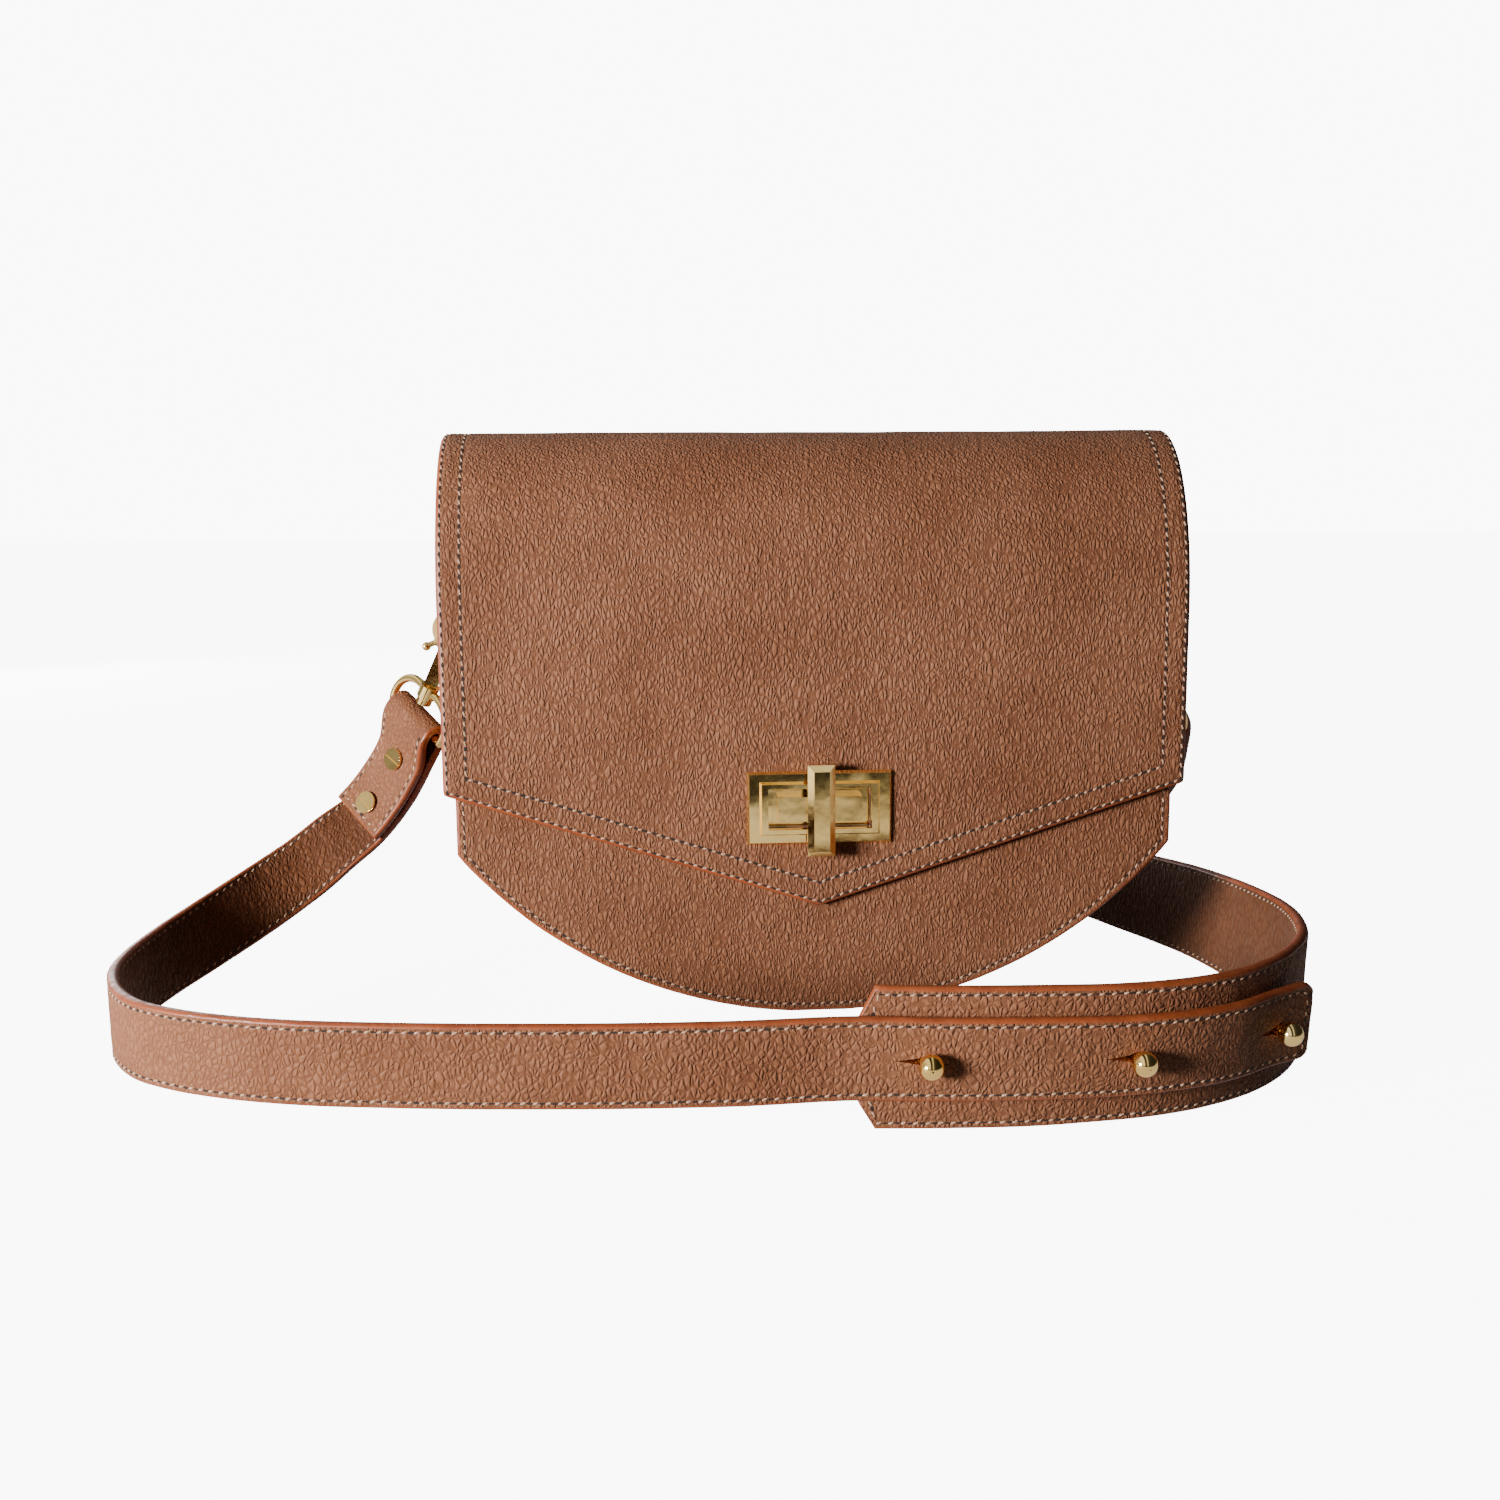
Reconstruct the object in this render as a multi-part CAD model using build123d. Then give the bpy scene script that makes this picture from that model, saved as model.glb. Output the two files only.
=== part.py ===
from build123d import *
import math
import os

# A leather sling bag that stands on its round bottom, with its long strap laid in a loop round it.
# Millimetres.  X runs across the bag to the right as seen from its front, Y runs from the front to
# the back and Z runs up.  Everything is drawn about a point on the ground under the middle of the
# bag, and written out with the origin moved to the middle of the front panel's flat bottom edge.

# ---- driving dimensions ----
BODY_HALF_W = 117.0      # half width of the body
BODY_HALF_D = 30.0       # half depth of the body, over the panels
BOTTOM_R = 151.5         # radius of the half-moon bottom
BOTTOM_SAG = 0.27        # how far the bottom is flattened where it stands
DOME_Z = 132.0           # height where the sides start to lean in
DOME_EXTRA = 24.5        # the dome rises this much more than its half depth
FRONT_TOP = 168.0
BACK_TOP = 172.0
GUSSET_TOP = 166.0

PANEL_T = 2.4            # leather of the front and back panels
REST_Y = BODY_HALF_D - PANEL_T / 2   # from the middle of the bag to the middle of a panel's leather
BOARD_T = 0.95           # stiffener board
LINING_T = 0.55
GUSSET_IN = 6.0          # how far the gusset sits inside the edge of the panels
GUSSET_T = 2.0
GLUE = 0.05              # glue line between two layers
BOARD_CLEAR = 0.3        # from the gusset to the boards and linings beside it
POCKET_W, POCKET_H, POCKET_R = 150.0, 84.0, 12.0
POCKET_Z, POCKET_TOP = 92.0, 125.0
POCKET_T = 1.15

FLAP_HALF_W = 120.5
FLAP_HALF_D = 34.0       # half depth of the bag over the flap
FLAP_LEATHER_T = 2.6
FLAP_LINING_T = 0.8
FLAP_CORNER_Z = 75.0
FLAP_TIP_Z = 36.3
FLAP_HINGE_Z = 150.0     # height of both lines where the flap bends
FLAP_BAND_Z = 118.0      # lower edge of the part that is sewn to the back
HINGE_R = 1.65
FRONT_HINGE_GAP = 2.0    # from the hinge line down to the leather below it
BACK_HINGE_GAP = 3.1
SLOT_CLEAR = 0.4         # the slot in the leather is this much wider than the one in the plate
WINDOW_LAP = 0.8         # the flap's lining laps this far under the edge of the back plate

LOCK_Z = 69.5            # height of the turn lock
PLATE_W, PLATE_H = 47.0, 24.0
STEP_W, STEP_H = 39.0, 17.6
RIM_T, STEP_T = 1.2, 2.0
BACK_PLATE_IN = 1.0      # how far the back plate sits inside the outline of the face plate
SLOT_W, SLOT_H = 33.4, 13.3
BASE_W, BASE_H = 27.4, 8.4
FOOT_EXTRA, FOOT_T, BASE_T = 2.5, 1.4, 5.9
SOLE_W, SOLE_H, SOLE_R, SOLE_T = 33.8, 13.6, 1.5, 0.5    # thin sole, a little wider than the slot
WASHER_W, WASHER_H, WASHER_T = 32.0, 12.0, 0.8
BAR_W, BAR_H = 8.8, 29.5
BAR_T, BAR_CHAMFER = 3.4, 1.9
CLIP_R, CLIP_T = 3.6, 0.6
SPINDLE_R = 1.9
SPINDLE_HOLE_R = 2.1
LEG_R = 1.2
LEG_X = 10.0
PLATE_SCREW_X, PLATE_SCREW_Z = 18.1, 7.7
PLATE_SCREW_R, PLATE_SCREW_HEAD_R = 0.8, 1.3

TAB_W = 19.0             # leather side tab
TAB_T = 1.6
TAB_TOP = 164.0
TAB_RIVET_Z = 156.0
RIVET_R, RIVET_HOLE_R = 1.5, 1.55
RIVET_CAP_R, RIVET_CAP_T = 3.6, 1.15
RING_R = 1.25            # wire of the D-ring
RING_HALF_W = 11.5
RING_DEPTH = 19.3        # from the D-ring's bar to the bottom of its arc
RING_AXIS_Z = 146.0
RING_CLEAR = 0.2

HOOK_OUT_R, HOOK_IN_R = 7.5, 4.8
HOOK_DROP = 2.0          # centre of the hook's eye below the D-ring's wire
HOOK_SHIFT = 0.8         # the wire lies this far to the closed side of the hook
HOOK_HALF_T = 1.5
GATE_HALF_T = 0.9
GATE_PIN_R = 0.65
GATE_PIN_X, GATE_PIN_Z = 2.8, -7.3
GATE_TIP_R = 9.3         # the gate's tip and the nose it closes on are round about the gate's pin
GATE_GAP = 0.2
GATE_LUG_R, GATE_KNUCKLE_R = 2.1, 1.7
ARM_L, ARM_T, THUMB_R = 5.0, 1.6, 1.5
STEM_W = 4.6
KNOB_R, KNOB_T = 2.7, 2.3    # end of the swivel post, inside the eye
POST_R = 1.5
BOSS_R, BOSS_H = 3.3, 4.5
BAR_TO_BOSS = 10.0       # from the strap bar of the eye to its boss
EYE_R = 1.4              # wire of the eye
EYE_HALF_W = 13.8
EYE_SHOULDER = 2.6       # where the arms of the eye meet its boss

STRAP_T = 3.4            # two plies together
NARROW_W = 23.0
WIDE_W = 40.0
NARROW_Z = 21.0          # height of the narrow strap's middle line in front
NARROW_RAISE = 1.5       # and how far it lies above the middle line of the wide one
STRAP_GAP = 1.2          # room for the flange of the studs between the two straps
FOLD_CLEAR = 0.35        # between the eye's bar and the leather folded over it
END_GAP = 0.3            # half the gap between the two layers of a strap end
STRAP_STEP = 8.0         # length of the facets along a strap
SPAN_CUTS = 2            # least number of facets between two stations
POINT_L = 4.5            # the wide strap's front end is pointed by this much
POINT_LOW, POINT_HIGH = 7.5, 31.0
STUDS_AT = (18.5, 72.5, 118.0)   # distances of the studs from the wide strap's end
STUD_BALL_R = 3.4
STUD_NECK_R = 1.6
STUD_FLANGE_R = 3.4
STUD_SCREW_R, STUD_SCREW_HEAD_R = 0.95, 3.6
SLIT_L, SLIT_W = 8.5, 0.6
SCREW_HEAD_R, SCREW_R, POST_HOLE_R = 3.8, 1.0, 2.0
DRIVER_SLOT_W = 1.0
# A screw through a strap end: its stations on the tab and on the run, and how far below them it is.
SCREWS_AT = ((3, 9, 2.5), (1, 11, 0.0))

# Clasps: where the D-ring's wire carries the hook, and the middle of the eye's strap bar.
LEFT_RING_LEAN = (-3.6, 0.0, -19.0)
LEFT_EYE_AT = Vector(-134.3, 12.0, 93.9)
LEFT_BAR_DIR = Vector(-0.66, 0.60, 0.549)
RIGHT_RING_LEAN = (3.6, 0.0, -19.0)
RIGHT_EYE_AT = Vector(127.0, 17.0, 93.0)
RIGHT_BAR_DIR = Vector(-0.378, 0.863, 0.424)


# ---- small helpers ----
def across(face, y_front, y_back):
    """Prism of a face drawn in x and z, from y_front to y_back."""
    plane = Plane(origin=(0, y_back, 0), x_dir=(1, 0, 0), z_dir=(0, -1, 0))
    return extrude(plane * face, amount=y_back - y_front)


def sideways(face, x_left, x_right):
    """Prism of a face drawn in y and z, from x_left to x_right."""
    plane = Plane(origin=(x_left, 0, 0), x_dir=(0, 1, 0), z_dir=(1, 0, 0))
    return extrude(plane * face, amount=x_right - x_left)


def forward(face, y_start, depth, taper=0.0):
    """Prism of a face drawn in x and z that grows towards the front from y_start."""
    plane = Plane(origin=(0, y_start, 0), x_dir=(1, 0, 0), z_dir=(0, -1, 0))
    return extrude(plane * face, amount=depth, taper=taper)


def half_moon(inset, top):
    """The outline of the body, moved in by inset and cut off at top."""
    disc = Pos(0, BOTTOM_R - BOTTOM_SAG) * Circle(BOTTOM_R - inset)
    block = Pos(0, (top + inset) / 2) * Rectangle(2 * (BODY_HALF_W - inset), top - inset)
    return disc & block


def envelope(half_depth):
    """The side view of the bag: upright walls with an elliptic dome."""
    wall = Pos(0, DOME_Z / 2 - 5) * Rectangle(2 * half_depth, DOME_Z + 10)
    dome = Pos(0, DOME_Z) * Ellipse(half_depth, half_depth + DOME_EXTRA)
    above = Pos(0, DOME_Z + 50) * Rectangle(200, 100)
    return wall + (dome & above)


def layer(outer, inner, side):
    """One layer of the side view between two depths, on the front (-1) or the back (1)."""
    half = Pos(side * 50, 100) * Rectangle(100, 300)
    return (envelope(outer) - envelope(inner)) & half


def flap_shell(outer, inner, side):
    return sideways(layer(outer, inner, side), -FLAP_HALF_W, FLAP_HALF_W)


def above_z(z, height=200.0):
    return Pos(0, 0, z + height / 2) * Box(600, 300, height)


def below_z(z, height=200.0):
    return Pos(0, 0, z - height / 2) * Box(600, 300, height)


def rod(radius, start, end):
    """Round bar between two points."""
    start, end = Vector(*start), Vector(*end)
    plane = Plane(origin=start, z_dir=end - start)
    return extrude(plane * Circle(radius), amount=(end - start).length)


def y_rod(radius, x, z, y_front, y_back):
    return rod(radius, (x, y_front, z), (x, y_back, z))


def pair(shape):
    """The shape and its mirror image across the middle of the bag."""
    return [shape, mirror(shape, about=Plane.YZ)]


# ---- bag body ----
def body_layer(side, outer, inner, inset, top):
    shell = sideways(layer(outer, inner, side), -BODY_HALF_W, BODY_HALF_W)
    return shell & across(half_moon(inset, top), -50, 50)


def lock_holes(shape):
    """Holes through the front of the body for the spindle and the two legs of the lock."""
    holes = y_rod(SPINDLE_HOLE_R, 0, LOCK_Z, -40, -20)
    for x in (-LEG_X, LEG_X):
        holes += y_rod(LEG_R + GLUE, x, LOCK_Z, -40, -20)
    return shape - holes


def tab_holes(shape):
    """Holes through the gusset for the rivets of the two side tabs."""
    return shape - rod(RIVET_HOLE_R, (-BODY_HALF_W, 0, TAB_RIVET_Z), (BODY_HALF_W, 0, TAB_RIVET_Z))


PANEL_IN = BODY_HALF_D - PANEL_T
BOARD_IN = PANEL_IN - GLUE - BOARD_T
LINING_IN = BOARD_IN - GLUE - LINING_T
WEB_IN = GUSSET_IN + GUSSET_T


def panel(side, top):
    return body_layer(side, BODY_HALF_D, PANEL_IN, 0, top)


def board(side, top):
    return body_layer(side, PANEL_IN - GLUE, BOARD_IN, WEB_IN + BOARD_CLEAR, top - 4)


def panel_lining(side, top):
    return body_layer(side, BOARD_IN - GLUE, LINING_IN, WEB_IN + BOARD_CLEAR, top - 1)


def gusset():
    depth = PANEL_IN - GLUE
    web = across(half_moon(GUSSET_IN, GUSSET_TOP) - half_moon(WEB_IN, GUSSET_TOP + 1), -50, 50)
    web &= sideways(envelope(depth), -BODY_HALF_W, BODY_HALF_W)
    flange = across(half_moon(0, GUSSET_TOP) - half_moon(WEB_IN, GUSSET_TOP + 1), -50, 50)
    flange &= sideways(envelope(depth) - envelope(depth - GUSSET_T), -BODY_HALF_W, BODY_HALF_W)
    return tab_holes(web + flange)


def gusset_lining():
    ring = half_moon(WEB_IN + GLUE, GUSSET_TOP - 1)
    ring -= half_moon(WEB_IN + GLUE + LINING_T, GUSSET_TOP)
    strip = across(ring, -50, 50) & sideways(envelope(LINING_IN - 0.2), -BODY_HALF_W, BODY_HALF_W)
    return tab_holes(strip)


def slip_pocket():
    """A flat pocket sewn to the back lining, open at its top."""
    outline = Pos(0, POCKET_Z) * RectangleRounded(POCKET_W, POCKET_H, POCKET_R)
    outline &= Pos(0, POCKET_TOP / 2) * Rectangle(POCKET_W, POCKET_TOP)
    return across(outline, LINING_IN - GLUE - POCKET_T, LINING_IN - GLUE)


# ---- flap ----
FLAP_MID = FLAP_HALF_D - (FLAP_LEATHER_T + FLAP_LINING_T) / 2
HINGE_Y = FLAP_MID * math.sqrt(1 - ((FLAP_HINGE_Z - DOME_Z) / (FLAP_MID + DOME_EXTRA)) ** 2)
LEATHER_IN = FLAP_HALF_D - FLAP_LEATHER_T
FLAP_LINING_OUT = LEATHER_IN - 0.02
FLAP_IN = FLAP_HALF_D - FLAP_LEATHER_T - FLAP_LINING_T


def flap_front_outline():
    top = FLAP_HINGE_Z - FRONT_HINGE_GAP
    return Polygon(
        (-FLAP_HALF_W, FLAP_CORNER_Z), (0, FLAP_TIP_Z), (FLAP_HALF_W, FLAP_CORNER_Z),
        (FLAP_HALF_W, top), (-FLAP_HALF_W, top), align=None,
    )


def hinge_rods(radius):
    rods = rod(radius, (-FLAP_HALF_W, -HINGE_Y, FLAP_HINGE_Z), (FLAP_HALF_W, -HINGE_Y, FLAP_HINGE_Z))
    rods += rod(radius, (-FLAP_HALF_W, HINGE_Y, FLAP_HINGE_Z), (FLAP_HALF_W, HINGE_Y, FLAP_HINGE_Z))
    return rods


def flap_crown():
    """The part of the flap that lies over the top, with a rounded end at each bend."""
    shell = flap_shell(FLAP_HALF_D, LEATHER_IN, -1) + flap_shell(FLAP_HALF_D, LEATHER_IN, 1)
    return (shell & above_z(FLAP_HINGE_Z)) + hinge_rods(HINGE_R)


def flap_crown_lining():
    shell = flap_shell(FLAP_LINING_OUT, FLAP_IN, -1) + flap_shell(FLAP_LINING_OUT, FLAP_IN, 1)
    return (shell & above_z(FLAP_HINGE_Z)) - hinge_rods(HINGE_R + GLUE)


def flap_front():
    leather = flap_shell(FLAP_HALF_D, LEATHER_IN, -1) & across(flap_front_outline(), -60, 0)
    slot = Pos(0, LOCK_Z) * Rectangle(SLOT_W + SLOT_CLEAR, SLOT_H + SLOT_CLEAR)
    return leather - across(slot, -60, 0) - plate_screws(clearance=GLUE)


def flap_front_lining():
    lining = flap_shell(FLAP_LINING_OUT, FLAP_IN, -1) & across(flap_front_outline(), -60, 0)
    window = Pos(0, LOCK_Z) * Rectangle(PLATE_W - 2 * WINDOW_LAP, PLATE_H - 2 * WINDOW_LAP)
    return lining - across(window, -60, 0)


def flap_back_band():
    """The lower edge of the flap on the back, sewn to the back panel."""
    band = flap_shell(FLAP_HALF_D, BODY_HALF_D + GLUE, 1)
    return band & above_z(FLAP_BAND_Z) & below_z(FLAP_HINGE_Z - BACK_HINGE_GAP)


# ---- turn lock ----
PLATE_Y = -FLAP_HALF_D - 0.02
BAR_Y = PLATE_Y - 3.5     # back of the bar, clear of the plate's step


def lock_face_plate():
    frame = forward(Pos(0, LOCK_Z) * Rectangle(PLATE_W, PLATE_H), PLATE_Y, RIM_T, taper=35)
    step = Pos(0, LOCK_Z) * Rectangle(STEP_W, STEP_H)
    frame += forward(step, PLATE_Y - RIM_T + 0.2, STEP_T, taper=20)
    frame -= across(Pos(0, LOCK_Z) * Rectangle(SLOT_W, SLOT_H), -60, 0)
    return frame - plate_screws(clearance=GLUE)


def lock_back_plate():
    plate = Pos(0, LOCK_Z) * Rectangle(PLATE_W - 2 * BACK_PLATE_IN, PLATE_H - 2 * BACK_PLATE_IN)
    plate -= Pos(0, LOCK_Z) * Rectangle(SLOT_W, SLOT_H)
    return across(plate, -LEATHER_IN + GLUE, -FLAP_IN - GLUE) - plate_screws(clearance=GLUE)


def plate_screws(clearance=0.0):
    """Four small screws that hold the two plates of the lock together through the leather."""
    screws = None
    for x in (-PLATE_SCREW_X, PLATE_SCREW_X):
        for z in (LOCK_Z - PLATE_SCREW_Z, LOCK_Z + PLATE_SCREW_Z):
            screw = y_rod(PLATE_SCREW_R + clearance, x, z, PLATE_Y - 2.0 - clearance, -FLAP_IN)
            head = y_rod(PLATE_SCREW_HEAD_R, x, z, -FLAP_IN - GLUE + clearance, -FLAP_IN + 0.3)
            one = screw + head
            screws = one if screws is None else screws + one
    return screws


def lock_base():
    """Foot on the front panel, with the block that stands in the slot and two legs."""
    foot_y = -BODY_HALF_D - 0.02
    base = forward(Pos(0, LOCK_Z) * RectangleRounded(SOLE_W, SOLE_H, SOLE_R), foot_y, SOLE_T)
    base += forward(Pos(0, LOCK_Z) * Rectangle(BASE_W + FOOT_EXTRA, BASE_H + FOOT_EXTRA), foot_y, FOOT_T)
    base += forward(Pos(0, LOCK_Z) * Rectangle(BASE_W, BASE_H), foot_y - FOOT_T, BASE_T, taper=2)
    for x in (-LEG_X, LEG_X):
        base += y_rod(LEG_R, x, LOCK_Z, foot_y - 1, -LINING_IN + 1.0)
    return base - y_rod(SPINDLE_HOLE_R, 0, LOCK_Z, -60, 0)


def lock_washer():
    plate = Pos(0, LOCK_Z) * RectangleRounded(WASHER_W, WASHER_H, 3)
    washer = across(plate, -LINING_IN + GLUE, -LINING_IN + GLUE + WASHER_T)
    return lock_holes(washer)


def lock_bar():
    """The bar that is turned by hand, standing across the slot, on its spindle."""
    bar = forward(Pos(0, LOCK_Z) * Rectangle(BAR_W, BAR_H), BAR_Y, BAR_T)
    bar += forward(Pos(0, LOCK_Z) * Rectangle(BAR_W, BAR_H), BAR_Y - BAR_T, BAR_CHAMFER, taper=45)
    return bar + y_rod(SPINDLE_R, 0, LOCK_Z, BAR_Y - 1, -LINING_IN + 2.2)


def lock_clip():
    """Ring on the inner end of the spindle that keeps the bar in place."""
    ring = y_rod(CLIP_R, 0, LOCK_Z, -LINING_IN + 1.1, -LINING_IN + 1.1 + CLIP_T)
    return ring - y_rod(SPINDLE_R + 0.02, 0, LOCK_Z, -60, 0)


# ---- side tabs and D-rings ----
WEB_X = BODY_HALF_W - GUSSET_IN
LOOP_R = RING_R + RING_CLEAR
TAB_X = WEB_X + GLUE + LOOP_R + TAB_T


def side_tab():
    """A leather strip folded round the bar of the D-ring and riveted to the gusset (right side)."""
    loop = Pos(TAB_X, RING_AXIS_Z) * Circle(LOOP_R + TAB_T)
    height = TAB_TOP - RING_AXIS_Z
    stem = Pos(WEB_X + GLUE + TAB_T, RING_AXIS_Z + height / 2) * Rectangle(2 * TAB_T, height)
    profile = loop + stem - Pos(TAB_X, RING_AXIS_Z) * Circle(LOOP_R)
    tab = across(profile, -TAB_W / 2, TAB_W / 2)
    return tab - rod(RIVET_HOLE_R, (100, 0, TAB_RIVET_Z), (130, 0, TAB_RIVET_Z))


def tab_rivet():
    outer = WEB_X + GLUE + 2 * TAB_T
    inner = BODY_HALF_W - WEB_IN - GLUE - LINING_T
    shank = rod(RIVET_R, (inner - 0.8, 0, TAB_RIVET_Z), (outer + 0.5, 0, TAB_RIVET_Z))
    cap = rod(RIVET_CAP_R, (outer + GLUE, 0, TAB_RIVET_Z), (outer + GLUE + RIVET_CAP_T, 0, TAB_RIVET_Z))
    washer = rod(RIVET_CAP_R, (inner - 0.9, 0, TAB_RIVET_Z), (inner - GLUE, 0, TAB_RIVET_Z))
    return shank + cap + washer


def ring_plane(side):
    """Plane in which a D-ring hangs: x along its bar, y down to the arc."""
    lean = Vector(*(LEFT_RING_LEAN if side < 0 else RIGHT_RING_LEAN)).normalized()
    bar = Vector(0, 1, 0)
    return Plane(origin=(side * TAB_X, 0, RING_AXIS_Z), x_dir=bar, z_dir=bar.cross(lean))


def d_ring(side):
    leg = RING_DEPTH - RING_HALF_W
    ring = rod(RING_R, (-RING_HALF_W, 0, 0), (RING_HALF_W, 0, 0))
    for x in (-RING_HALF_W, RING_HALF_W):
        ring += rod(RING_R, (x, 0, 0), (x, leg, 0))
        ring += Pos(x, 0, 0) * Sphere(RING_R)
    arc = ThreePointArc((-RING_HALF_W, leg, 0), (0, RING_DEPTH, 0), (RING_HALF_W, leg, 0))
    section = Plane(origin=(-RING_HALF_W, leg, 0), z_dir=(0, 1, 0)) * Circle(RING_R)
    ring += sweep(section, path=arc)
    return ring_plane(side).location * ring


# ---- swivel snap hooks ----
class Clasp:
    """Places of one snap hook: its swivel axis, its hook plane and the bar of its eye."""

    def __init__(self, side):
        lean = Vector(*(LEFT_RING_LEAN if side < 0 else RIGHT_RING_LEAN)).normalized()
        wire = Vector(side * TAB_X, 0, RING_AXIS_Z) + lean * RING_DEPTH
        eye = LEFT_EYE_AT if side < 0 else RIGHT_EYE_AT
        self.up = (wire - eye).normalized()
        wire_dir = (Vector(0, 1, 0) - self.up * self.up.Y).normalized()
        outward = wire_dir.cross(self.up)
        if outward.X * side < 0:
            outward = -outward
        self.top = wire + outward * HOOK_SHIFT
        self.outward = outward
        self.length = (wire - eye).length
        self.turn = -side   # which way the strap end is folded, seen along the bar
        self.bar_at = self.top - self.up * self.length
        bar_dir = LEFT_BAR_DIR if side < 0 else RIGHT_BAR_DIR
        self.bar_dir = (bar_dir - self.up * bar_dir.dot(self.up)).normalized()
        self.hook_plane = Plane(origin=self.top, x_dir=outward, z_dir=self.up)
        self.eye_plane = Plane(origin=self.top, x_dir=self.bar_dir, z_dir=self.up)
        self.boss_z = -self.length + BAR_TO_BOSS


def wedge(start_deg, end_deg, reach=30.0):
    """Sector of a disc between two angles, about the centre of the hook."""
    steps = 6
    angles = [start_deg + (end_deg - start_deg) * i / steps for i in range(steps + 1)]
    rim = [(reach * math.cos(math.radians(a)), reach * math.sin(math.radians(a))) for a in angles]
    return Pos(0, -HOOK_DROP) * Polygon((0, 0), *rim, align=None)


def slab(face, half_thickness):
    return across(face, -half_thickness, half_thickness)


def hook_body(clasp):
    """Hook, shank and swivel post in one casting, with a mouth and a fork for the gate."""
    ring = Pos(0, -HOOK_DROP) * (Circle(HOOK_OUT_R) - Circle(HOOK_IN_R))
    pin_at = Pos(GATE_PIN_X, GATE_PIN_Z)
    mouth = wedge(-62, 75) & (pin_at * Circle(GATE_TIP_R + GATE_GAP))
    stem_top = -HOOK_DROP - HOOK_IN_R - 1
    stem_end = clasp.boss_z + BOSS_H + 0.3
    stem = Pos(0, (stem_top + stem_end) / 2) * Rectangle(STEM_W, stem_top - stem_end)
    body = slab(ring - mouth + stem + pin_at * Circle(GATE_LUG_R), HOOK_HALF_T)
    body -= slab(pin_at * Circle(GATE_LUG_R + 0.4), GATE_HALF_T + 0.15)
    body -= slab(wedge(-62, -20), GATE_HALF_T + 0.15)
    body -= slab(pin_at * Circle(GATE_PIN_R + 0.02), 10)
    body += rod(POST_R, (0, 0, stem_end + 1), (0, 0, clasp.boss_z - 1))
    knob_z = clasp.boss_z - 0.3
    body += rod(KNOB_R, (0, 0, knob_z), (0, 0, knob_z - KNOB_T))
    return clasp.hook_plane.location * body


def hook_gate(clasp):
    """Sprung gate that closes the hook, with a bead for the thumb."""
    arc = Pos(0, -HOOK_DROP) * (Circle(HOOK_OUT_R - GATE_GAP) - Circle(HOOK_IN_R + GATE_GAP))
    pin_at = Pos(GATE_PIN_X, GATE_PIN_Z)
    arc = arc & wedge(-58, 75) & (pin_at * Circle(GATE_TIP_R))
    arm = Pos(GATE_PIN_X + 1.9, GATE_PIN_Z - 2.2) * Rot(0, 0, 40) * Rectangle(ARM_T, ARM_L)
    gate = slab(arc + pin_at * Circle(GATE_KNUCKLE_R) + arm, GATE_HALF_T)
    gate += Pos(GATE_PIN_X + 3.6, 0, GATE_PIN_Z - 4.4) * Sphere(THUMB_R)
    gate -= slab(pin_at * Circle(GATE_PIN_R + 0.08), 10)
    return clasp.hook_plane.location * gate


def gate_pin(clasp):
    pin = y_rod(GATE_PIN_R, GATE_PIN_X, GATE_PIN_Z, -HOOK_HALF_T - 0.2, HOOK_HALF_T + 0.2)
    return clasp.hook_plane.location * pin


def strap_eye(clasp):
    """D-shaped eye that carries the strap, with a boss for the swivel post."""
    bar_z = -clasp.length
    boss_mid = clasp.boss_z + BOSS_H / 2
    eye = rod(EYE_R, (-EYE_HALF_W, 0, bar_z), (EYE_HALF_W, 0, bar_z))
    for side in (-1, 1):
        eye += Pos(side * EYE_HALF_W, 0, bar_z) * Sphere(EYE_R)
        start = (side * EYE_HALF_W, 0, bar_z)
        middle = (side * EYE_HALF_W * 0.88, 0, bar_z + 0.72 * (boss_mid - bar_z))
        arc = ThreePointArc(start, middle, (side * EYE_SHOULDER, 0, boss_mid))
        section = Plane(origin=start, z_dir=arc.tangent_at(0)) * Circle(EYE_R)
        eye += sweep(section, path=arc)
    eye += rod(BOSS_R, (0, 0, clasp.boss_z), (0, 0, clasp.boss_z + BOSS_H))
    eye -= rod(POST_R + 0.15, (0, 0, clasp.boss_z - 5), (0, 0, clasp.boss_z + 9))
    return clasp.eye_plane.location * eye


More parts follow.
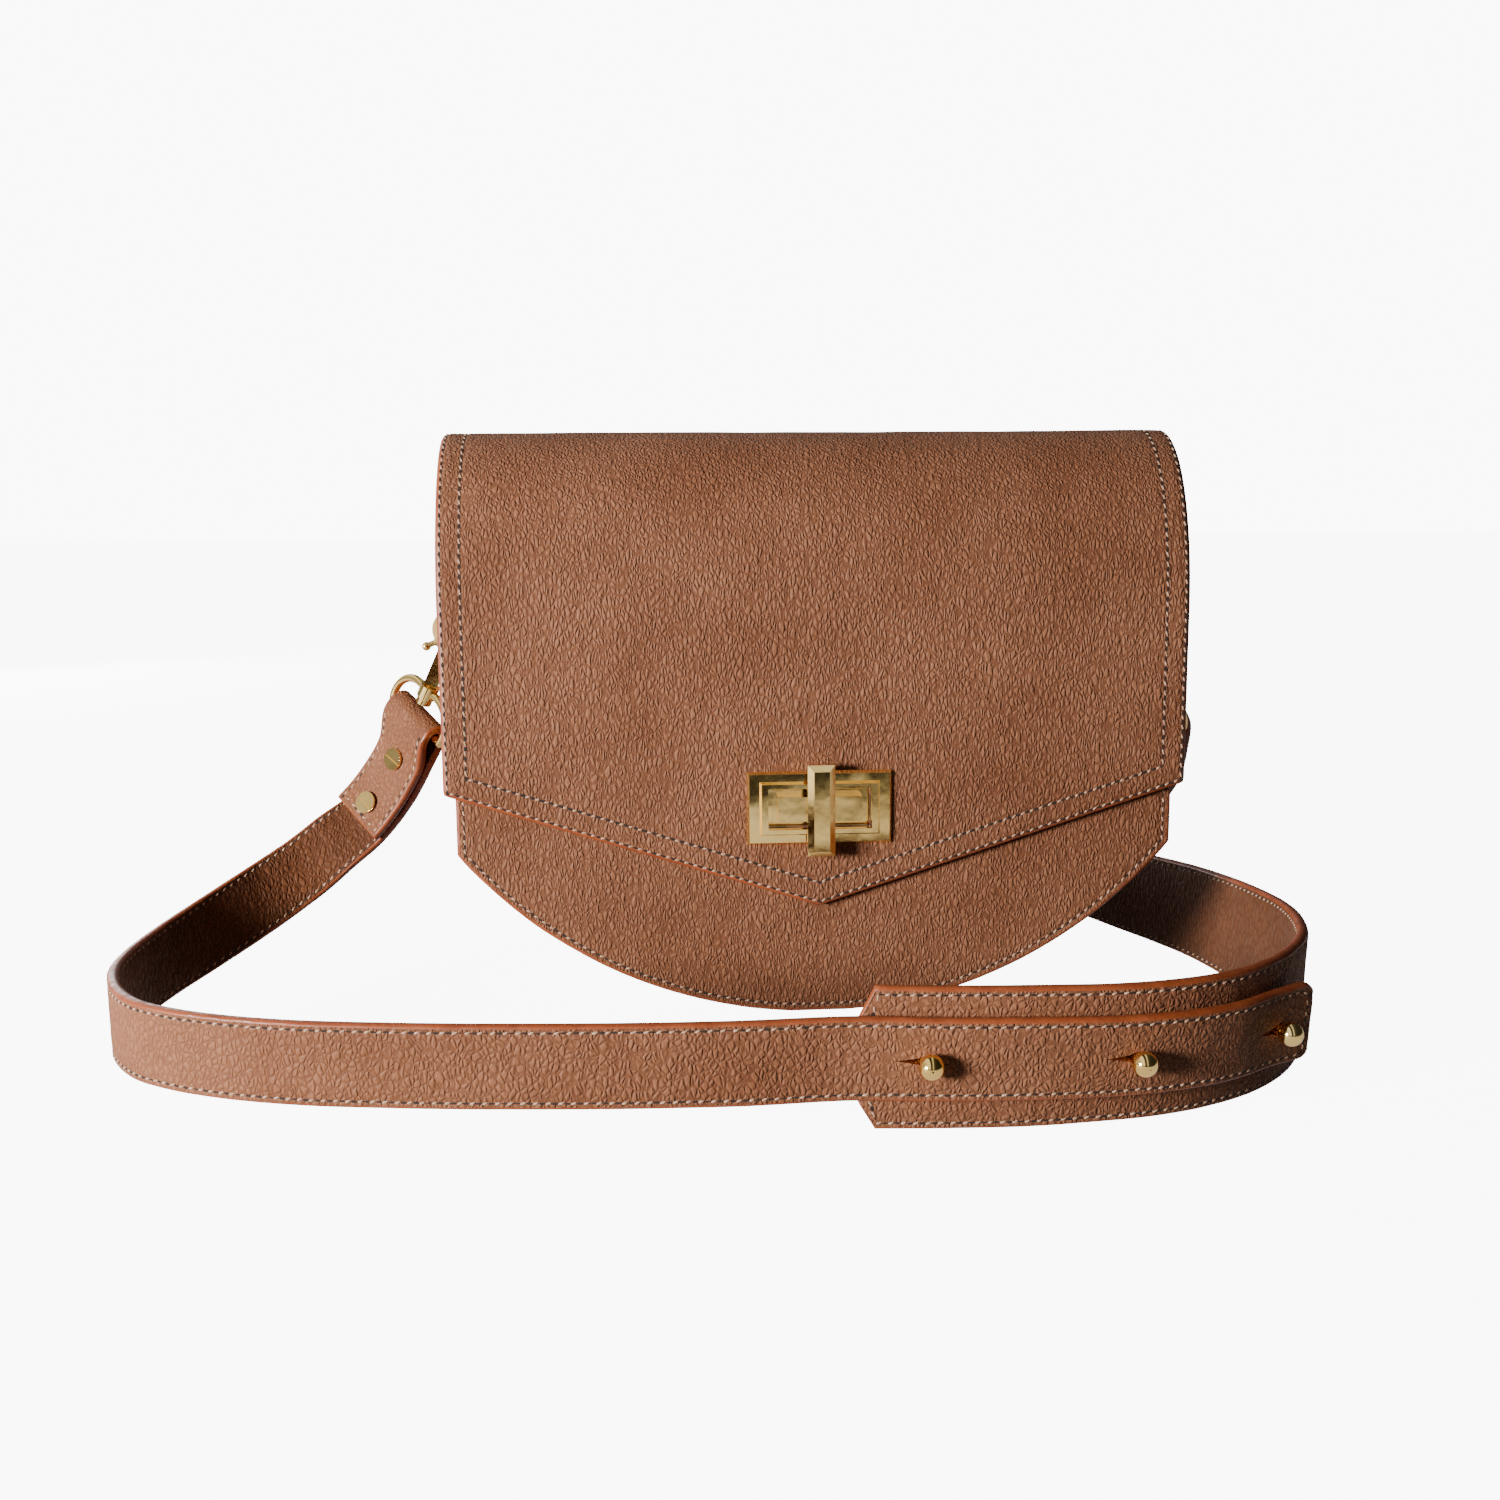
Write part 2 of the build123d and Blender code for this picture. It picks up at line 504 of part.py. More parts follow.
# ---- strap ----
class Run:
    """The middle line of a strap, with the direction of its width and its width at each station."""

    def __init__(self, stations):
        self.points = [Vector(*s[0]) if isinstance(s[0], tuple) else s[0] for s in stations]
        self.ups = [Vector(*s[1]) if isinstance(s[1], tuple) else s[1] for s in stations]
        self.widths = [Vector(s[2], 0, 0) for s in stations]
        self.knots = [0.0]
        for before, after in zip(self.points, self.points[1:]):
            self.knots.append(self.knots[-1] + (after - before).length)

    def smooth(self, values, distance):
        """Smooth curve through a list of vectors that belong to the stations."""
        knots = self.knots
        last = len(values) - 1
        i = 0
        while i < last - 1 and knots[i + 1] < distance:
            i += 1
        span = knots[i + 1] - knots[i]
        step = (values[i + 1] - values[i]) / span
        slopes = [step, step]
        if i > 0:
            gap = knots[i] - knots[i - 1]
            before = (values[i] - values[i - 1]) / gap
            slopes[0] = (before * span + step * gap) / (span + gap)
        if i + 2 <= last:
            gap = knots[i + 2] - knots[i + 1]
            after = (values[i + 2] - values[i + 1]) / gap
            slopes[1] = (step * gap + after * span) / (span + gap)
        u = (distance - knots[i]) / span
        start = values[i] * ((1 + 2 * u) * (1 - u) ** 2) + slopes[0] * (span * u * (1 - u) ** 2)
        end = values[i + 1] * (u * u * (3 - 2 * u)) - slopes[1] * (span * u * u * (1 - u))
        return start + end

    def frame(self, distance):
        """Point, width direction, outward direction and direction of travel."""
        high = min(distance + 0.1, self.knots[-1])
        low = max(distance - 0.1, 0)
        travel = (self.smooth(self.points, high) - self.smooth(self.points, low)).normalized()
        up = self.smooth(self.ups, distance)
        up = (up - travel * up.dot(travel)).normalized()
        return self.smooth(self.points, distance), up, travel.cross(up), travel

    def section(self, distance, low, high):
        """Face across one ply: it reaches from low to high along the outward direction."""
        point, up, out, travel = self.frame(distance)
        width = self.smooth(self.widths, distance).X
        plane = Plane(origin=point + out * ((low + high) / 2), x_dir=up, z_dir=travel)
        return plane * Rectangle(width, high - low)

    def ply(self, low, high):
        """One ply along the whole strap, built from flat facets between its sections."""
        places = [0.0]
        for start, end in zip(self.knots, self.knots[1:]):
            count = max(SPAN_CUTS, round((end - start) / STRAP_STEP))
            places += [start + (end - start) * k / count for k in range(1, count + 1)]
        return loft([self.section(place, low, high) for place in places], ruled=True)


LEFT = Clasp(-1)
RIGHT = Clasp(1)
FOLD_R = EYE_R + FOLD_CLEAR + STRAP_T / 2
LAYER_OFF = STRAP_T / 2 + END_GAP
STANDING = (0, 0, 1)     # width direction of a strap that stands on its edge


def end_layers(clasp, lower):
    """Middle points between the two layers of a strap end, with width and inner directions."""
    layers, above = [], clasp.bar_at
    for point, up in lower:
        point, up = Vector(*point), Vector(*up)
        travel = (above - point).normalized()
        up = (up - travel * up.dot(travel)).normalized()
        layers.append((point, up, travel.cross(up) * clasp.turn))
        above = point
    return layers


def folded_end(clasp, lower, width):
    """Stations of a strap end: up the folded tab, over the bar of the eye and down the run."""
    inner = clasp.up.cross(clasp.bar_dir) * clasp.turn
    tab, run = [], []
    for point, up, side in end_layers(clasp, lower):
        tab.insert(0, (point + side * LAYER_OFF, up, width))
        run.append((point - side * LAYER_OFF, up, width))
    bend = []
    for degrees in (0, 45, 90, 135, 180):
        angle = math.radians(degrees)
        point = clasp.bar_at + (inner * math.cos(angle) + clasp.up * math.sin(angle)) * FOLD_R
        bend.append((point, clasp.bar_dir, width))
    return tab + bend + run


# Stations of the wide strap, from its free end in front, round the right side and behind:
# middle of the strap, direction of its width, width.
WIDE_FRONT = [
    ((0, -129.8, 20.1), (0, -0.04, 1.0), 40), ((22, -132.0, 20.1), (0, -0.07, 1.0), 40),
    ((49.5, -133.0, 20.1), (0, -0.1, 0.99), 40), ((65, -132.1, 20.0), (0.02, -0.14, 0.99), 40),
    ((80, -130.1, 20.0), (0.04, -0.15, 0.99), 40), ((101.6, -122.6, 20.0), (0.07, -0.14, 0.99), 40),
    ((116.4, -112.8, 20.1), (0.08, -0.09, 0.99), 40), ((127, -102, 20.1), (0.06, -0.06, 1.0), 40),
    ((135.5, -90, 20.1), (0.04, -0.03, 1.0), 39.8),
]
WIDE_SIDE = [
    ((143, -73, 19.9), STANDING, 39.4), ((148, -50, 19.4), STANDING, 38.4),
    ((149, -22, 18.7), STANDING, 37.0), ((147, 4, 18.0), STANDING, 35.5),
    ((143.5, 23, 17.5), STANDING, 34.5), ((137.5, 42, 17.0), STANDING, 33.5),
    ((129.5, 63, 16.4), STANDING, 32.3), ((122, 84, 15.7), STANDING, 31.0),
    ((115, 101, 15.3), STANDING, 30.0), ((102, 113, 16.0), STANDING, 29.0),
    ((88, 110, 20.5), STANDING, 28.0),
]
WIDE_RISE = [
    ((81, 97, 27), (-0.15, 0.2, 0.95), 27.0), ((83, 81, 35.5), (-0.3, 0.25, 0.9), 26.0),
    ((91, 67, 44), (-0.38, 0.32, 0.85), 25.0), ((104, 54, 52.5), (-0.45, 0.42, 0.78), 24.0),
]
RIGHT_END = [
    ((130, 21.5, 81), (-0.40, 0.82, 0.38)), ((129, 27, 71), (-0.42, 0.76, 0.46)),
    ((124.8, 34, 63), (-0.46, 0.66, 0.58)), ((120, 39.5, 59), (-0.47, 0.58, 0.66)),
]
# Middle line of the narrow strap, from the left clasp down, round the left side and to the front.
LEFT_END = [
    ((-139.6, 15.1, 82.3), (-0.62, 0.56, 0.55)), ((-145.2, 16.8, 72.7), (-0.61, 0.55, 0.57)),
    ((-151.8, 17.5, 64.0), (-0.59, 0.52, 0.61)), ((-156.6, 17.6, 58.8), (-0.58, 0.50, 0.64)),
]
NARROW_FALL = [
    ((-165.0, 16.2, 51.2), (-0.56, 0.42, 0.71)), ((-174.0, 12.5, 44.0), (-0.53, 0.35, 0.77)),
    ((-184.0, 5.5, 37.4), (-0.48, 0.26, 0.84)), ((-193.5, -5.0, 31.8), (-0.38, 0.16, 0.91)),
    ((-202.5, -18.0, 27.0), (-0.26, 0.08, 0.96)), ((-209.5, -33.0, 23.6), (-0.16, 0.03, 0.99)),
    ((-213.0, -50.0, 21.8), (-0.10, 0.0, 1.0)), ((-212.5, -67.0, 21.0), (-0.06, 0.0, 1.0)),
]
NARROW_TURN = [
    (-208, -83), (-202, -94), (-194.5, -103), (-183, -111), (-170.5, -117), (-154, -122.5),
    (-120, -128.7), (-86, -132.3), (-62, -133.9), (-31, -134.6),
]
NARROW_TIP = (129.3, -112.2, 21.3)


def wide_stations():
    end = folded_end(RIGHT, RIGHT_END, NARROW_W)
    end.reverse()
    return WIDE_FRONT + WIDE_SIDE + WIDE_RISE + end


def over_wide(distance):
    """Station of the narrow strap where it lies on the wide one."""
    point, up, out, _ = WIDE.frame(distance)
    return point + out * (STRAP_T + STRAP_GAP) + up * NARROW_RAISE, up, NARROW_W


def narrow_stations():
    stations = folded_end(LEFT, LEFT_END, NARROW_W)
    stations += [(point, up, NARROW_W) for point, up in NARROW_FALL]
    stations += [((x, y, NARROW_Z), STANDING, NARROW_W) for x, y in NARROW_TURN]
    stations += [over_wide(knot) for knot in WIDE.knots[:6]]
    stations.append(over_wide(STUDS_AT[2]))
    stations.append((NARROW_TIP, (0.05, -0.07, 1.0), NARROW_W))
    return stations


WIDE = Run(wide_stations())
NARROW = Run(narrow_stations())


def stud_frames():
    """For each stud, the plane on the outer face of the wide strap with z pointing outward."""
    frames = []
    for distance in STUDS_AT:
        point, up, out, travel = WIDE.frame(distance)
        face = point + out * (STRAP_T / 2) + up * NARROW_RAISE
        frames.append(Plane(origin=face, x_dir=travel, z_dir=out))
    return frames


def strap_stud():
    """Ball stud: a flange on the wide strap, a neck through the narrow strap and a ball."""
    flange = rod(STUD_FLANGE_R, (0, 0, 0.1), (0, 0, STRAP_GAP - 0.4))
    neck = rod(STUD_NECK_R, (0, 0, 0.5), (0, 0, STRAP_GAP + STRAP_T + 3))
    ball = Pos(0, 0, STRAP_GAP + STRAP_T + STUD_BALL_R + 0.1) * Sphere(STUD_BALL_R)
    return flange + neck + ball - rod(1.0, (0, 0, -1), (0, 0, 3.5))


def stud_screw():
    head = rod(STUD_SCREW_HEAD_R, (0, 0, -STRAP_T - 1.3), (0, 0, -STRAP_T - 0.4))
    head -= Pos(0, 0, -STRAP_T - 1.3) * Box(9, DRIVER_SLOT_W, 0.9)
    return head + rod(STUD_SCREW_R, (0, 0, -STRAP_T - 0.5), (0, 0, 3.3))


def stud_slit():
    """Hole and slit of the narrow strap, cut towards the strap's left."""
    hole = rod(STUD_NECK_R + 0.2, (0, 0, 0.1), (0, 0, 8))
    return hole + Pos(-SLIT_L / 2, 0, 4) * Box(SLIT_L, SLIT_W, 8)


def on_studs(shape):
    return [plane.location * shape for plane in stud_frames()]


def screw_frames(strap, towards_end=1):
    """Planes between the layers of a strap end at its two screws, z pointing to the inner face."""
    frames = []
    for tab_station, run_station, below in SCREWS_AT:
        tab_at = strap.knots[::towards_end][tab_station] - towards_end * below
        run_at = strap.knots[::towards_end][run_station] + towards_end * below
        tab_point, up, tab_out, _ = strap.frame(tab_at)
        run_point, _, run_out, _ = strap.frame(run_at)
        middle = (tab_point + run_point) / 2
        frames.append(Plane(origin=middle, x_dir=up, z_dir=tab_out - run_out))
    return frames


SCREW_REACH = STRAP_T + END_GAP


def end_screw():
    """Slotted screw on the inner face."""
    head = rod(SCREW_HEAD_R, (0, 0, SCREW_REACH + 0.5), (0, 0, SCREW_REACH + 1.5))
    head -= Pos(0, 0, SCREW_REACH + 1.5) * Box(9, DRIVER_SLOT_W, 1.0)
    return head + rod(SCREW_R, (0, 0, -1.5), (0, 0, SCREW_REACH + 0.8))


def end_post():
    """Threaded post that the screw goes into, with its flat head on the outer face."""
    post = rod(POST_HOLE_R - 0.1, (0, 0, -SCREW_REACH - 0.7), (0, 0, SCREW_REACH - 0.1))
    head = rod(SCREW_HEAD_R, (0, 0, -SCREW_REACH - 1.4), (0, 0, -SCREW_REACH - 0.5))
    return post + head - rod(SCREW_R + 0.05, (0, 0, -1.6), (0, 0, SCREW_REACH + 1))


def cut_all(shape, cutters):
    for cutter in cutters:
        shape = shape - cutter
    return shape


def narrow_ply(low, high):
    """One ply of the narrow strap with its slits and screw holes."""
    ply = NARROW.ply(low, high)
    cutters = on_studs(stud_slit())
    hole = rod(POST_HOLE_R, (0, 0, -6), (0, 0, 6))
    cutters += [plane.location * hole for plane in screw_frames(NARROW)]
    return cut_all(ply, cutters)


def wide_ply(low, high):
    """One ply of the wide strap with its pointed front end and its screw holes."""
    ply = WIDE.ply(low, high)
    tip = Polygon((-5, -5), (POINT_L, -5), (POINT_L, 0), (0, POINT_LOW), (0, POINT_HIGH),
                  (POINT_L, WIDE_W), (POINT_L, WIDE_W + 5), (-5, WIDE_W + 5), align=None)
    ply = ply - across(tip, -140, -120)
    cutters = on_studs(rod(STUD_SCREW_R + 0.15, (0, 0, -8), (0, 0, 2)))
    hole = rod(POST_HOLE_R, (0, 0, -6), (0, 0, 6))
    cutters += [plane.location * hole for plane in screw_frames(WIDE, -1)]
    return cut_all(ply, cutters)


# ---- build and write ----
os.makedirs("parts", exist_ok=True)


def write(name, shapes):
    if not isinstance(shapes, list):
        shapes = [shapes]
    solids = [Pos(0, REST_Y, 0) * solid for shape in shapes for solid in shape.solids()]
    shape = solids[0] if len(solids) == 1 else Compound(children=solids)
    shape.label = name
    export_step(shape, f"parts/{name}.step")


write("front_panel", lock_holes(panel(-1, FRONT_TOP)))
write("front_board", lock_holes(board(-1, FRONT_TOP)))
write("front_lining", lock_holes(panel_lining(-1, FRONT_TOP)))
write("back_panel", panel(1, BACK_TOP))
write("back_board", board(1, BACK_TOP))
write("back_lining", panel_lining(1, BACK_TOP))
write("gusset", gusset())
write("gusset_lining", gusset_lining())
write("slip_pocket", slip_pocket())
write("flap_crown", flap_crown())
write("flap_crown_lining", flap_crown_lining())
write("flap_front", flap_front())
write("flap_front_lining", flap_front_lining())
write("flap_back_band", flap_back_band())
write("lock_face_plate", lock_face_plate())
write("lock_back_plate", lock_back_plate())
write("lock_plate_screws", plate_screws())
write("lock_base", lock_base())
write("lock_washer", lock_washer())
write("lock_bar", lock_bar())
write("lock_clip", lock_clip())

right_tab, left_tab = pair(side_tab())
write("left_side_tab", left_tab)
write("right_side_tab", right_tab)
write("tab_rivets", pair(tab_rivet()))

for label, clasp, side in (("left", LEFT, -1), ("right", RIGHT, 1)):
    write(f"{label}_d_ring", d_ring(side))
    write(f"{label}_hook_body", hook_body(clasp))
    write(f"{label}_hook_gate", hook_gate(clasp))
    write(f"{label}_gate_pin", gate_pin(clasp))
    write(f"{label}_strap_eye", strap_eye(clasp))

write("narrow_strap_outer", narrow_ply(0.01, STRAP_T / 2))
write("narrow_strap_lining", narrow_ply(-STRAP_T / 2, -0.01))
write("wide_strap_outer", wide_ply(0.01, STRAP_T / 2))
write("wide_strap_lining", wide_ply(-STRAP_T / 2, -0.01))
write("strap_studs", on_studs(strap_stud()))
write("stud_screws", on_studs(stud_screw()))
for label, frames in (("left", screw_frames(NARROW)), ("right", screw_frames(WIDE, -1))):
    write(f"{label}_end_screws", [plane.location * end_screw() for plane in frames])
    write(f"{label}_end_posts", [plane.location * end_post() for plane in frames])
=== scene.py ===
import math

import bpy
import bmesh
import numpy as np
from mathutils import Matrix, Vector, noise
from mathutils.bvhtree import BVHTree


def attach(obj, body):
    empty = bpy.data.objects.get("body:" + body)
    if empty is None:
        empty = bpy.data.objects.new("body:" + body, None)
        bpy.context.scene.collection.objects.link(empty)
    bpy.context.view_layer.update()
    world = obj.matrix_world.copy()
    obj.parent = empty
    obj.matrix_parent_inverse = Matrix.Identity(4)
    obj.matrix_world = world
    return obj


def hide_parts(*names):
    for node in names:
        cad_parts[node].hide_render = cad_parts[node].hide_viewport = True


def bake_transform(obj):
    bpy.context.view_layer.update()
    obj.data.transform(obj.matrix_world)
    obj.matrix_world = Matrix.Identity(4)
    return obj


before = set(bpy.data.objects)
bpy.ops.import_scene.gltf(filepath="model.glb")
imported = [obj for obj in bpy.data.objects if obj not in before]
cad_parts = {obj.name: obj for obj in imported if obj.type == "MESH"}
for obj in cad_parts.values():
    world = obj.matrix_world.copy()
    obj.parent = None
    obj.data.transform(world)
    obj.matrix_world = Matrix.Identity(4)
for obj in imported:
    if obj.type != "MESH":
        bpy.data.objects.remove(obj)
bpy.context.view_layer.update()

MM = 0.001
ORIGIN = np.array((0.0, 28.8, 0.0))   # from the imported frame's origin to the middle of the bag


def packed(points):
    """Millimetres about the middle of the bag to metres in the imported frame."""
    return (np.asarray(points, float) + ORIGIN) * MM


# ---- driving dimensions, mm ----
FLAP_HALF_W = 120.5
FLAP_HALF_D = 34.0
FLAP_T = 3.4             # leather and lining of the flap together
CORNER_Z, TIP_Z = 75.0, 36.3
BAND_Z = 118.0           # lower edge of the flap on the back
DOME_Z, DOME_EXTRA = 132.0, 24.5
BODY_HALF_W, BODY_HALF_D = 117.0, 30.0
BOTTOM_R, BOTTOM_SAG = 151.5, 0.27
FRONT_TOP, BACK_TOP, GUSSET_TOP = 168.0, 172.0, 166.0
PANEL_T, GUSSET_T, LINING_T = 2.4, 2.0, 0.55
GUSSET_IN = 6.0
LOCK_Z = 69.5
SLOT_W, SLOT_H = 33.8, 13.7
STITCH_PITCH = 3.15
FLAP_ROWS = (1.9, 8.0)   # stitch rows, distance from the flap's edge
PANEL_ROW = 2.7
STRAP_T = 3.4
STRAP_ROW = 2.05
STRAP_GAP, NARROW_RAISE = 1.2, 1.5
NARROW_W, WIDE_W = 23.0, 40.0
TAB_X, TAB_Z = 114.1, 146.0   # bar of a D-ring
TAB_W, TAB_T, TAB_TOP = 19.0, 1.6, 164.0
EYE_R, FOLD_CLEAR, END_GAP = 1.4, 0.35, 0.3
STUDS_AT = (18.5, 72.5, 118.0)
SLIT_L = 8.6
STRAP_PITCH = 3.3        # stitches of the strap
STRAP_BEVEL = 0.95       # rounding of the strap's edges, across
BOARD_T, BODY_CLEAR = 0.95, 0.05
POCKET_HALF_W, POCKET_LOW, POCKET_HIGH, POCKET_Y = 74.5, 50.5, 124.5, 24.2
TABLE_GLOW = 0.35        # extra brightness of the floor as polished metal mirrors it
FLOOR_GLOW = 9.0         # how much brighter than its light the floor looks to the camera


# ---- materials ----
def node_tree(name):
    """New material with its tree, its shader and the piece's own coordinates."""
    material = bpy.data.materials.new(name)
    material.use_nodes = True
    tree = material.node_tree
    shader = tree.nodes["Principled BSDF"]
    coords = tree.nodes.new("ShaderNodeTexCoord")
    return material, tree, shader, coords.outputs["Object"]


def add_noise(tree, coords, scale, detail=3.0, rough=0.55):
    node = tree.nodes.new("ShaderNodeTexNoise")
    node.inputs["Scale"].default_value = scale
    node.inputs["Detail"].default_value = detail
    node.inputs["Roughness"].default_value = rough
    tree.links.new(coords, node.inputs["Vector"])
    return node.outputs["Fac"]


def add_ramp(tree, source, stops):
    node = tree.nodes.new("ShaderNodeValToRGB")
    tree.links.new(source, node.inputs["Fac"])
    ramp = node.color_ramp
    while len(ramp.elements) < len(stops):
        ramp.elements.new(0.5)
    for element, (place, colour) in zip(ramp.elements, stops):
        element.position = place
        element.color = (*colour, 1) if len(colour) == 3 else colour
    return node.outputs["Color"]


def add_mix(tree, factor, first, second, mode="MIX"):
    node = tree.nodes.new("ShaderNodeMix")
    node.data_type = "RGBA"
    node.blend_type = mode
    for socket, value in ((0, factor), (6, first), (7, second)):
        if isinstance(value, bpy.types.NodeSocket):
            tree.links.new(value, node.inputs[socket])
        elif socket == 0:
            node.inputs[socket].default_value = value
        else:
            node.inputs[socket].default_value = (*value, 1)
    return node.outputs[2]


def add_math(tree, kind, first, second):
    node = tree.nodes.new("ShaderNodeMath")
    node.operation = kind
    for i, value in enumerate((first, second)):
        if isinstance(value, bpy.types.NodeSocket):
            tree.links.new(value, node.inputs[i])
        else:
            node.inputs[i].default_value = value
    return node.outputs[0]


def add_bump(tree, height, strength, distance, before=None):
    node = tree.nodes.new("ShaderNodeBump")
    node.inputs["Strength"].default_value = strength
    node.inputs["Distance"].default_value = distance
    tree.links.new(height, node.inputs["Height"])
    if before is not None:
        tree.links.new(before, node.inputs["Normal"])
    return node.outputs["Normal"]


def pebble_height(tree, coords, cell_mm, stretch=(1, 1, 1), lean=0.0):
    """Leather grain: rounded cells of uneven size with creases between them."""
    place = tree.nodes.new("ShaderNodeMapping")
    place.inputs["Scale"].default_value = stretch
    place.inputs["Rotation"].default_value = (0, math.radians(lean), 0)
    tree.links.new(coords, place.inputs["Vector"])
    warp = tree.nodes.new("ShaderNodeTexNoise")
    warp.inputs["Scale"].default_value = 260 / cell_mm
    tree.links.new(place.outputs["Vector"], warp.inputs["Vector"])
    shift = tree.nodes.new("ShaderNodeVectorMath")
    shift.operation = "MULTIPLY_ADD"
    shift.inputs[1].default_value = (0.0022 * cell_mm,) * 3
    tree.links.new(warp.outputs["Color"], shift.inputs[0])
    tree.links.new(place.outputs["Vector"], shift.inputs[2])
    cells = tree.nodes.new("ShaderNodeTexVoronoi")
    cells.feature = "DISTANCE_TO_EDGE"
    cells.inputs["Scale"].default_value = 1000 / cell_mm
    tree.links.new(shift.outputs["Vector"], cells.inputs["Vector"])
    rounded = tree.nodes.new("ShaderNodeMapRange")
    rounded.interpolation_type = "SMOOTHSTEP"
    rounded.inputs["From Max"].default_value = 0.32
    tree.links.new(cells.outputs["Distance"], rounded.inputs["Value"])
    return rounded.outputs["Result"]


def crease_lines(tree, coords):
    """Long shallow creases that wander diagonally over the hide."""
    place = tree.nodes.new("ShaderNodeMapping")
    place.inputs["Rotation"].default_value = (0.2, math.radians(32), 0.3)
    place.inputs["Scale"].default_value = (1.0, 1.0, 0.42)
    tree.links.new(coords, place.inputs["Vector"])
    return add_noise(tree, place.outputs["Vector"], 520, 4, 0.62)


def leather(name, dark, light, cell_mm=1.5, grain=0.8, crease_shade=0.75, stretch=(1, 1, 1), lean=0.0):
    """Pebbled, softly shining leather with cloudy colour and painted shade darkening the creases between the
    pebbles.
    """
    material, tree, shader, coords = node_tree(name)
    cloud = add_noise(tree, coords, 22, 5)
    colour = add_ramp(tree, cloud, ((0.32, dark), (0.68, light)))
    fine = add_noise(tree, coords, 700, 3)
    speckle = add_ramp(tree, fine, ((0.35, (0.80, 0.80, 0.80)), (0.65, (1.10, 1.08, 1.06))))
    colour = add_mix(tree, 0.6, colour, speckle, "MULTIPLY")
    cells = pebble_height(tree, coords, cell_mm, stretch, lean)
    # painted shade: the colour is darkened in the creases between the pebbles
    shade = add_ramp(tree, cells, ((0.0, (0.52, 0.44, 0.40)), (0.6, (1, 1, 1))))
    colour = add_mix(tree, crease_shade, colour, shade, "MULTIPLY")
    tree.links.new(colour, shader.inputs["Base Color"])
    pores = add_noise(tree, coords, 2600, 2)
    soft = add_noise(tree, coords, 95, 3)
    folds = crease_lines(tree, coords)
    normal = add_bump(tree, soft, 0.5, 0.0008)
    normal = add_bump(tree, folds, 0.55 * grain, 0.0011, normal)
    normal = add_bump(tree, cells, grain, 0.00034, normal)
    normal = add_bump(tree, pores, 0.25, 0.00006, normal)
    tree.links.new(normal, shader.inputs["Normal"])
    shine = add_ramp(tree, cells, ((0.0, (0.70,) * 3), (1.0, (0.54,) * 3)))
    shine = add_mix(tree, 0.3, shine, add_ramp(tree, soft, ((0.3, (0.48,) * 3), (0.7, (0.68,) * 3))))
    tree.links.new(shine, shader.inputs["Roughness"])
    shader.inputs["Specular IOR Level"].default_value = 0.18
    shader.inputs["Sheen Weight"].default_value = 0.10
    shader.inputs["Sheen Roughness"].default_value = 0.5
    shader.inputs["Sheen Tint"].default_value = (0.9, 0.72, 0.6, 1)
    return material


def edge_paint(name, dark, light):
    """Burnished, painted leather edge: slightly uneven and a little glossy, worn lighter in spots."""
    material, tree, shader, coords = node_tree(name)
    run = add_noise(tree, coords, 160, 4)
    colour = add_ramp(tree, run, ((0.3, dark), (0.7, light)))
    worn = add_noise(tree, coords, 900, 3)
    wear = add_ramp(tree, worn, ((0.62, (0, 0, 0)), (0.74, (1, 1, 1))))
    colour = add_mix(tree, wear, colour, [min(1.0, 1.35 * c) for c in light])
    tree.links.new(colour, shader.inputs["Base Color"])
    lumps = add_noise(tree, coords, 420, 3)
    tree.links.new(add_bump(tree, lumps, 0.4, 0.0003), shader.inputs["Normal"])
    rough = add_ramp(tree, lumps, ((0.3, (0.34,) * 3), (0.7, (0.55,) * 3)))
    tree.links.new(rough, shader.inputs["Roughness"])
    return material


def thread(name, dark, light):
    """Waxed twisted thread."""
    material, tree, shader, coords = node_tree(name)
    tone = add_noise(tree, coords, 1500, 2)
    tree.links.new(add_ramp(tree, tone, ((0.3, dark), (0.7, light))), shader.inputs["Base Color"])
    twist = tree.nodes.new("ShaderNodeTexWave")
    twist.bands_direction = "DIAGONAL"
    twist.inputs["Scale"].default_value = 1100
    twist.inputs["Distortion"].default_value = 1.5
    tree.links.new(coords, twist.inputs["Vector"])
    tree.links.new(add_bump(tree, twist.outputs["Fac"], 0.5, 0.0001), shader.inputs["Normal"])
    shader.inputs["Roughness"].default_value = 0.62
    shader.inputs["Sheen Weight"].default_value = 0.2
    return material


def stitch_hole_shade(name):
    material, tree, shader, coords = node_tree(name)
    tone = add_noise(tree, coords, 900, 2)
    # near-black: painted shade standing in for the inside of a needle hole
    colour = add_ramp(tree, tone, ((0.3, (0.012, 0.006, 0.004)), (0.7, (0.035, 0.016, 0.009))))
    tree.links.new(colour, shader.inputs["Base Color"])
    shader.inputs["Roughness"].default_value = 0.85
    return material


def woven(name, dark, light, threads_per_mm=2.2):
    """Plain-woven lining cloth."""
    material, tree, shader, coords = node_tree(name)
    waves = []
    for direction in ("X", "Z"):
        wave = tree.nodes.new("ShaderNodeTexWave")
        wave.bands_direction = direction
        wave.inputs["Scale"].default_value = threads_per_mm * 1000 / 6.3
        wave.inputs["Distortion"].default_value = 0.6
        tree.links.new(coords, wave.inputs["Vector"])
        waves.append(wave.outputs["Fac"])
    weave = add_math(tree, "MAXIMUM", waves[0], waves[1])
    cloud = add_noise(tree, coords, 40, 4)
    colour = add_ramp(tree, cloud, ((0.3, dark), (0.7, light)))
    shade = add_ramp(tree, weave, ((0.2, (0.72, 0.70, 0.68)), (0.9, (1, 1, 1))))
    tree.links.new(add_mix(tree, 0.7, colour, shade, "MULTIPLY"), shader.inputs["Base Color"])
    tree.links.new(add_bump(tree, weave, 0.5, 0.0002), shader.inputs["Normal"])
    shader.inputs["Roughness"].default_value = 0.85
    shader.inputs["Sheen Weight"].default_value = 0.35
    return material


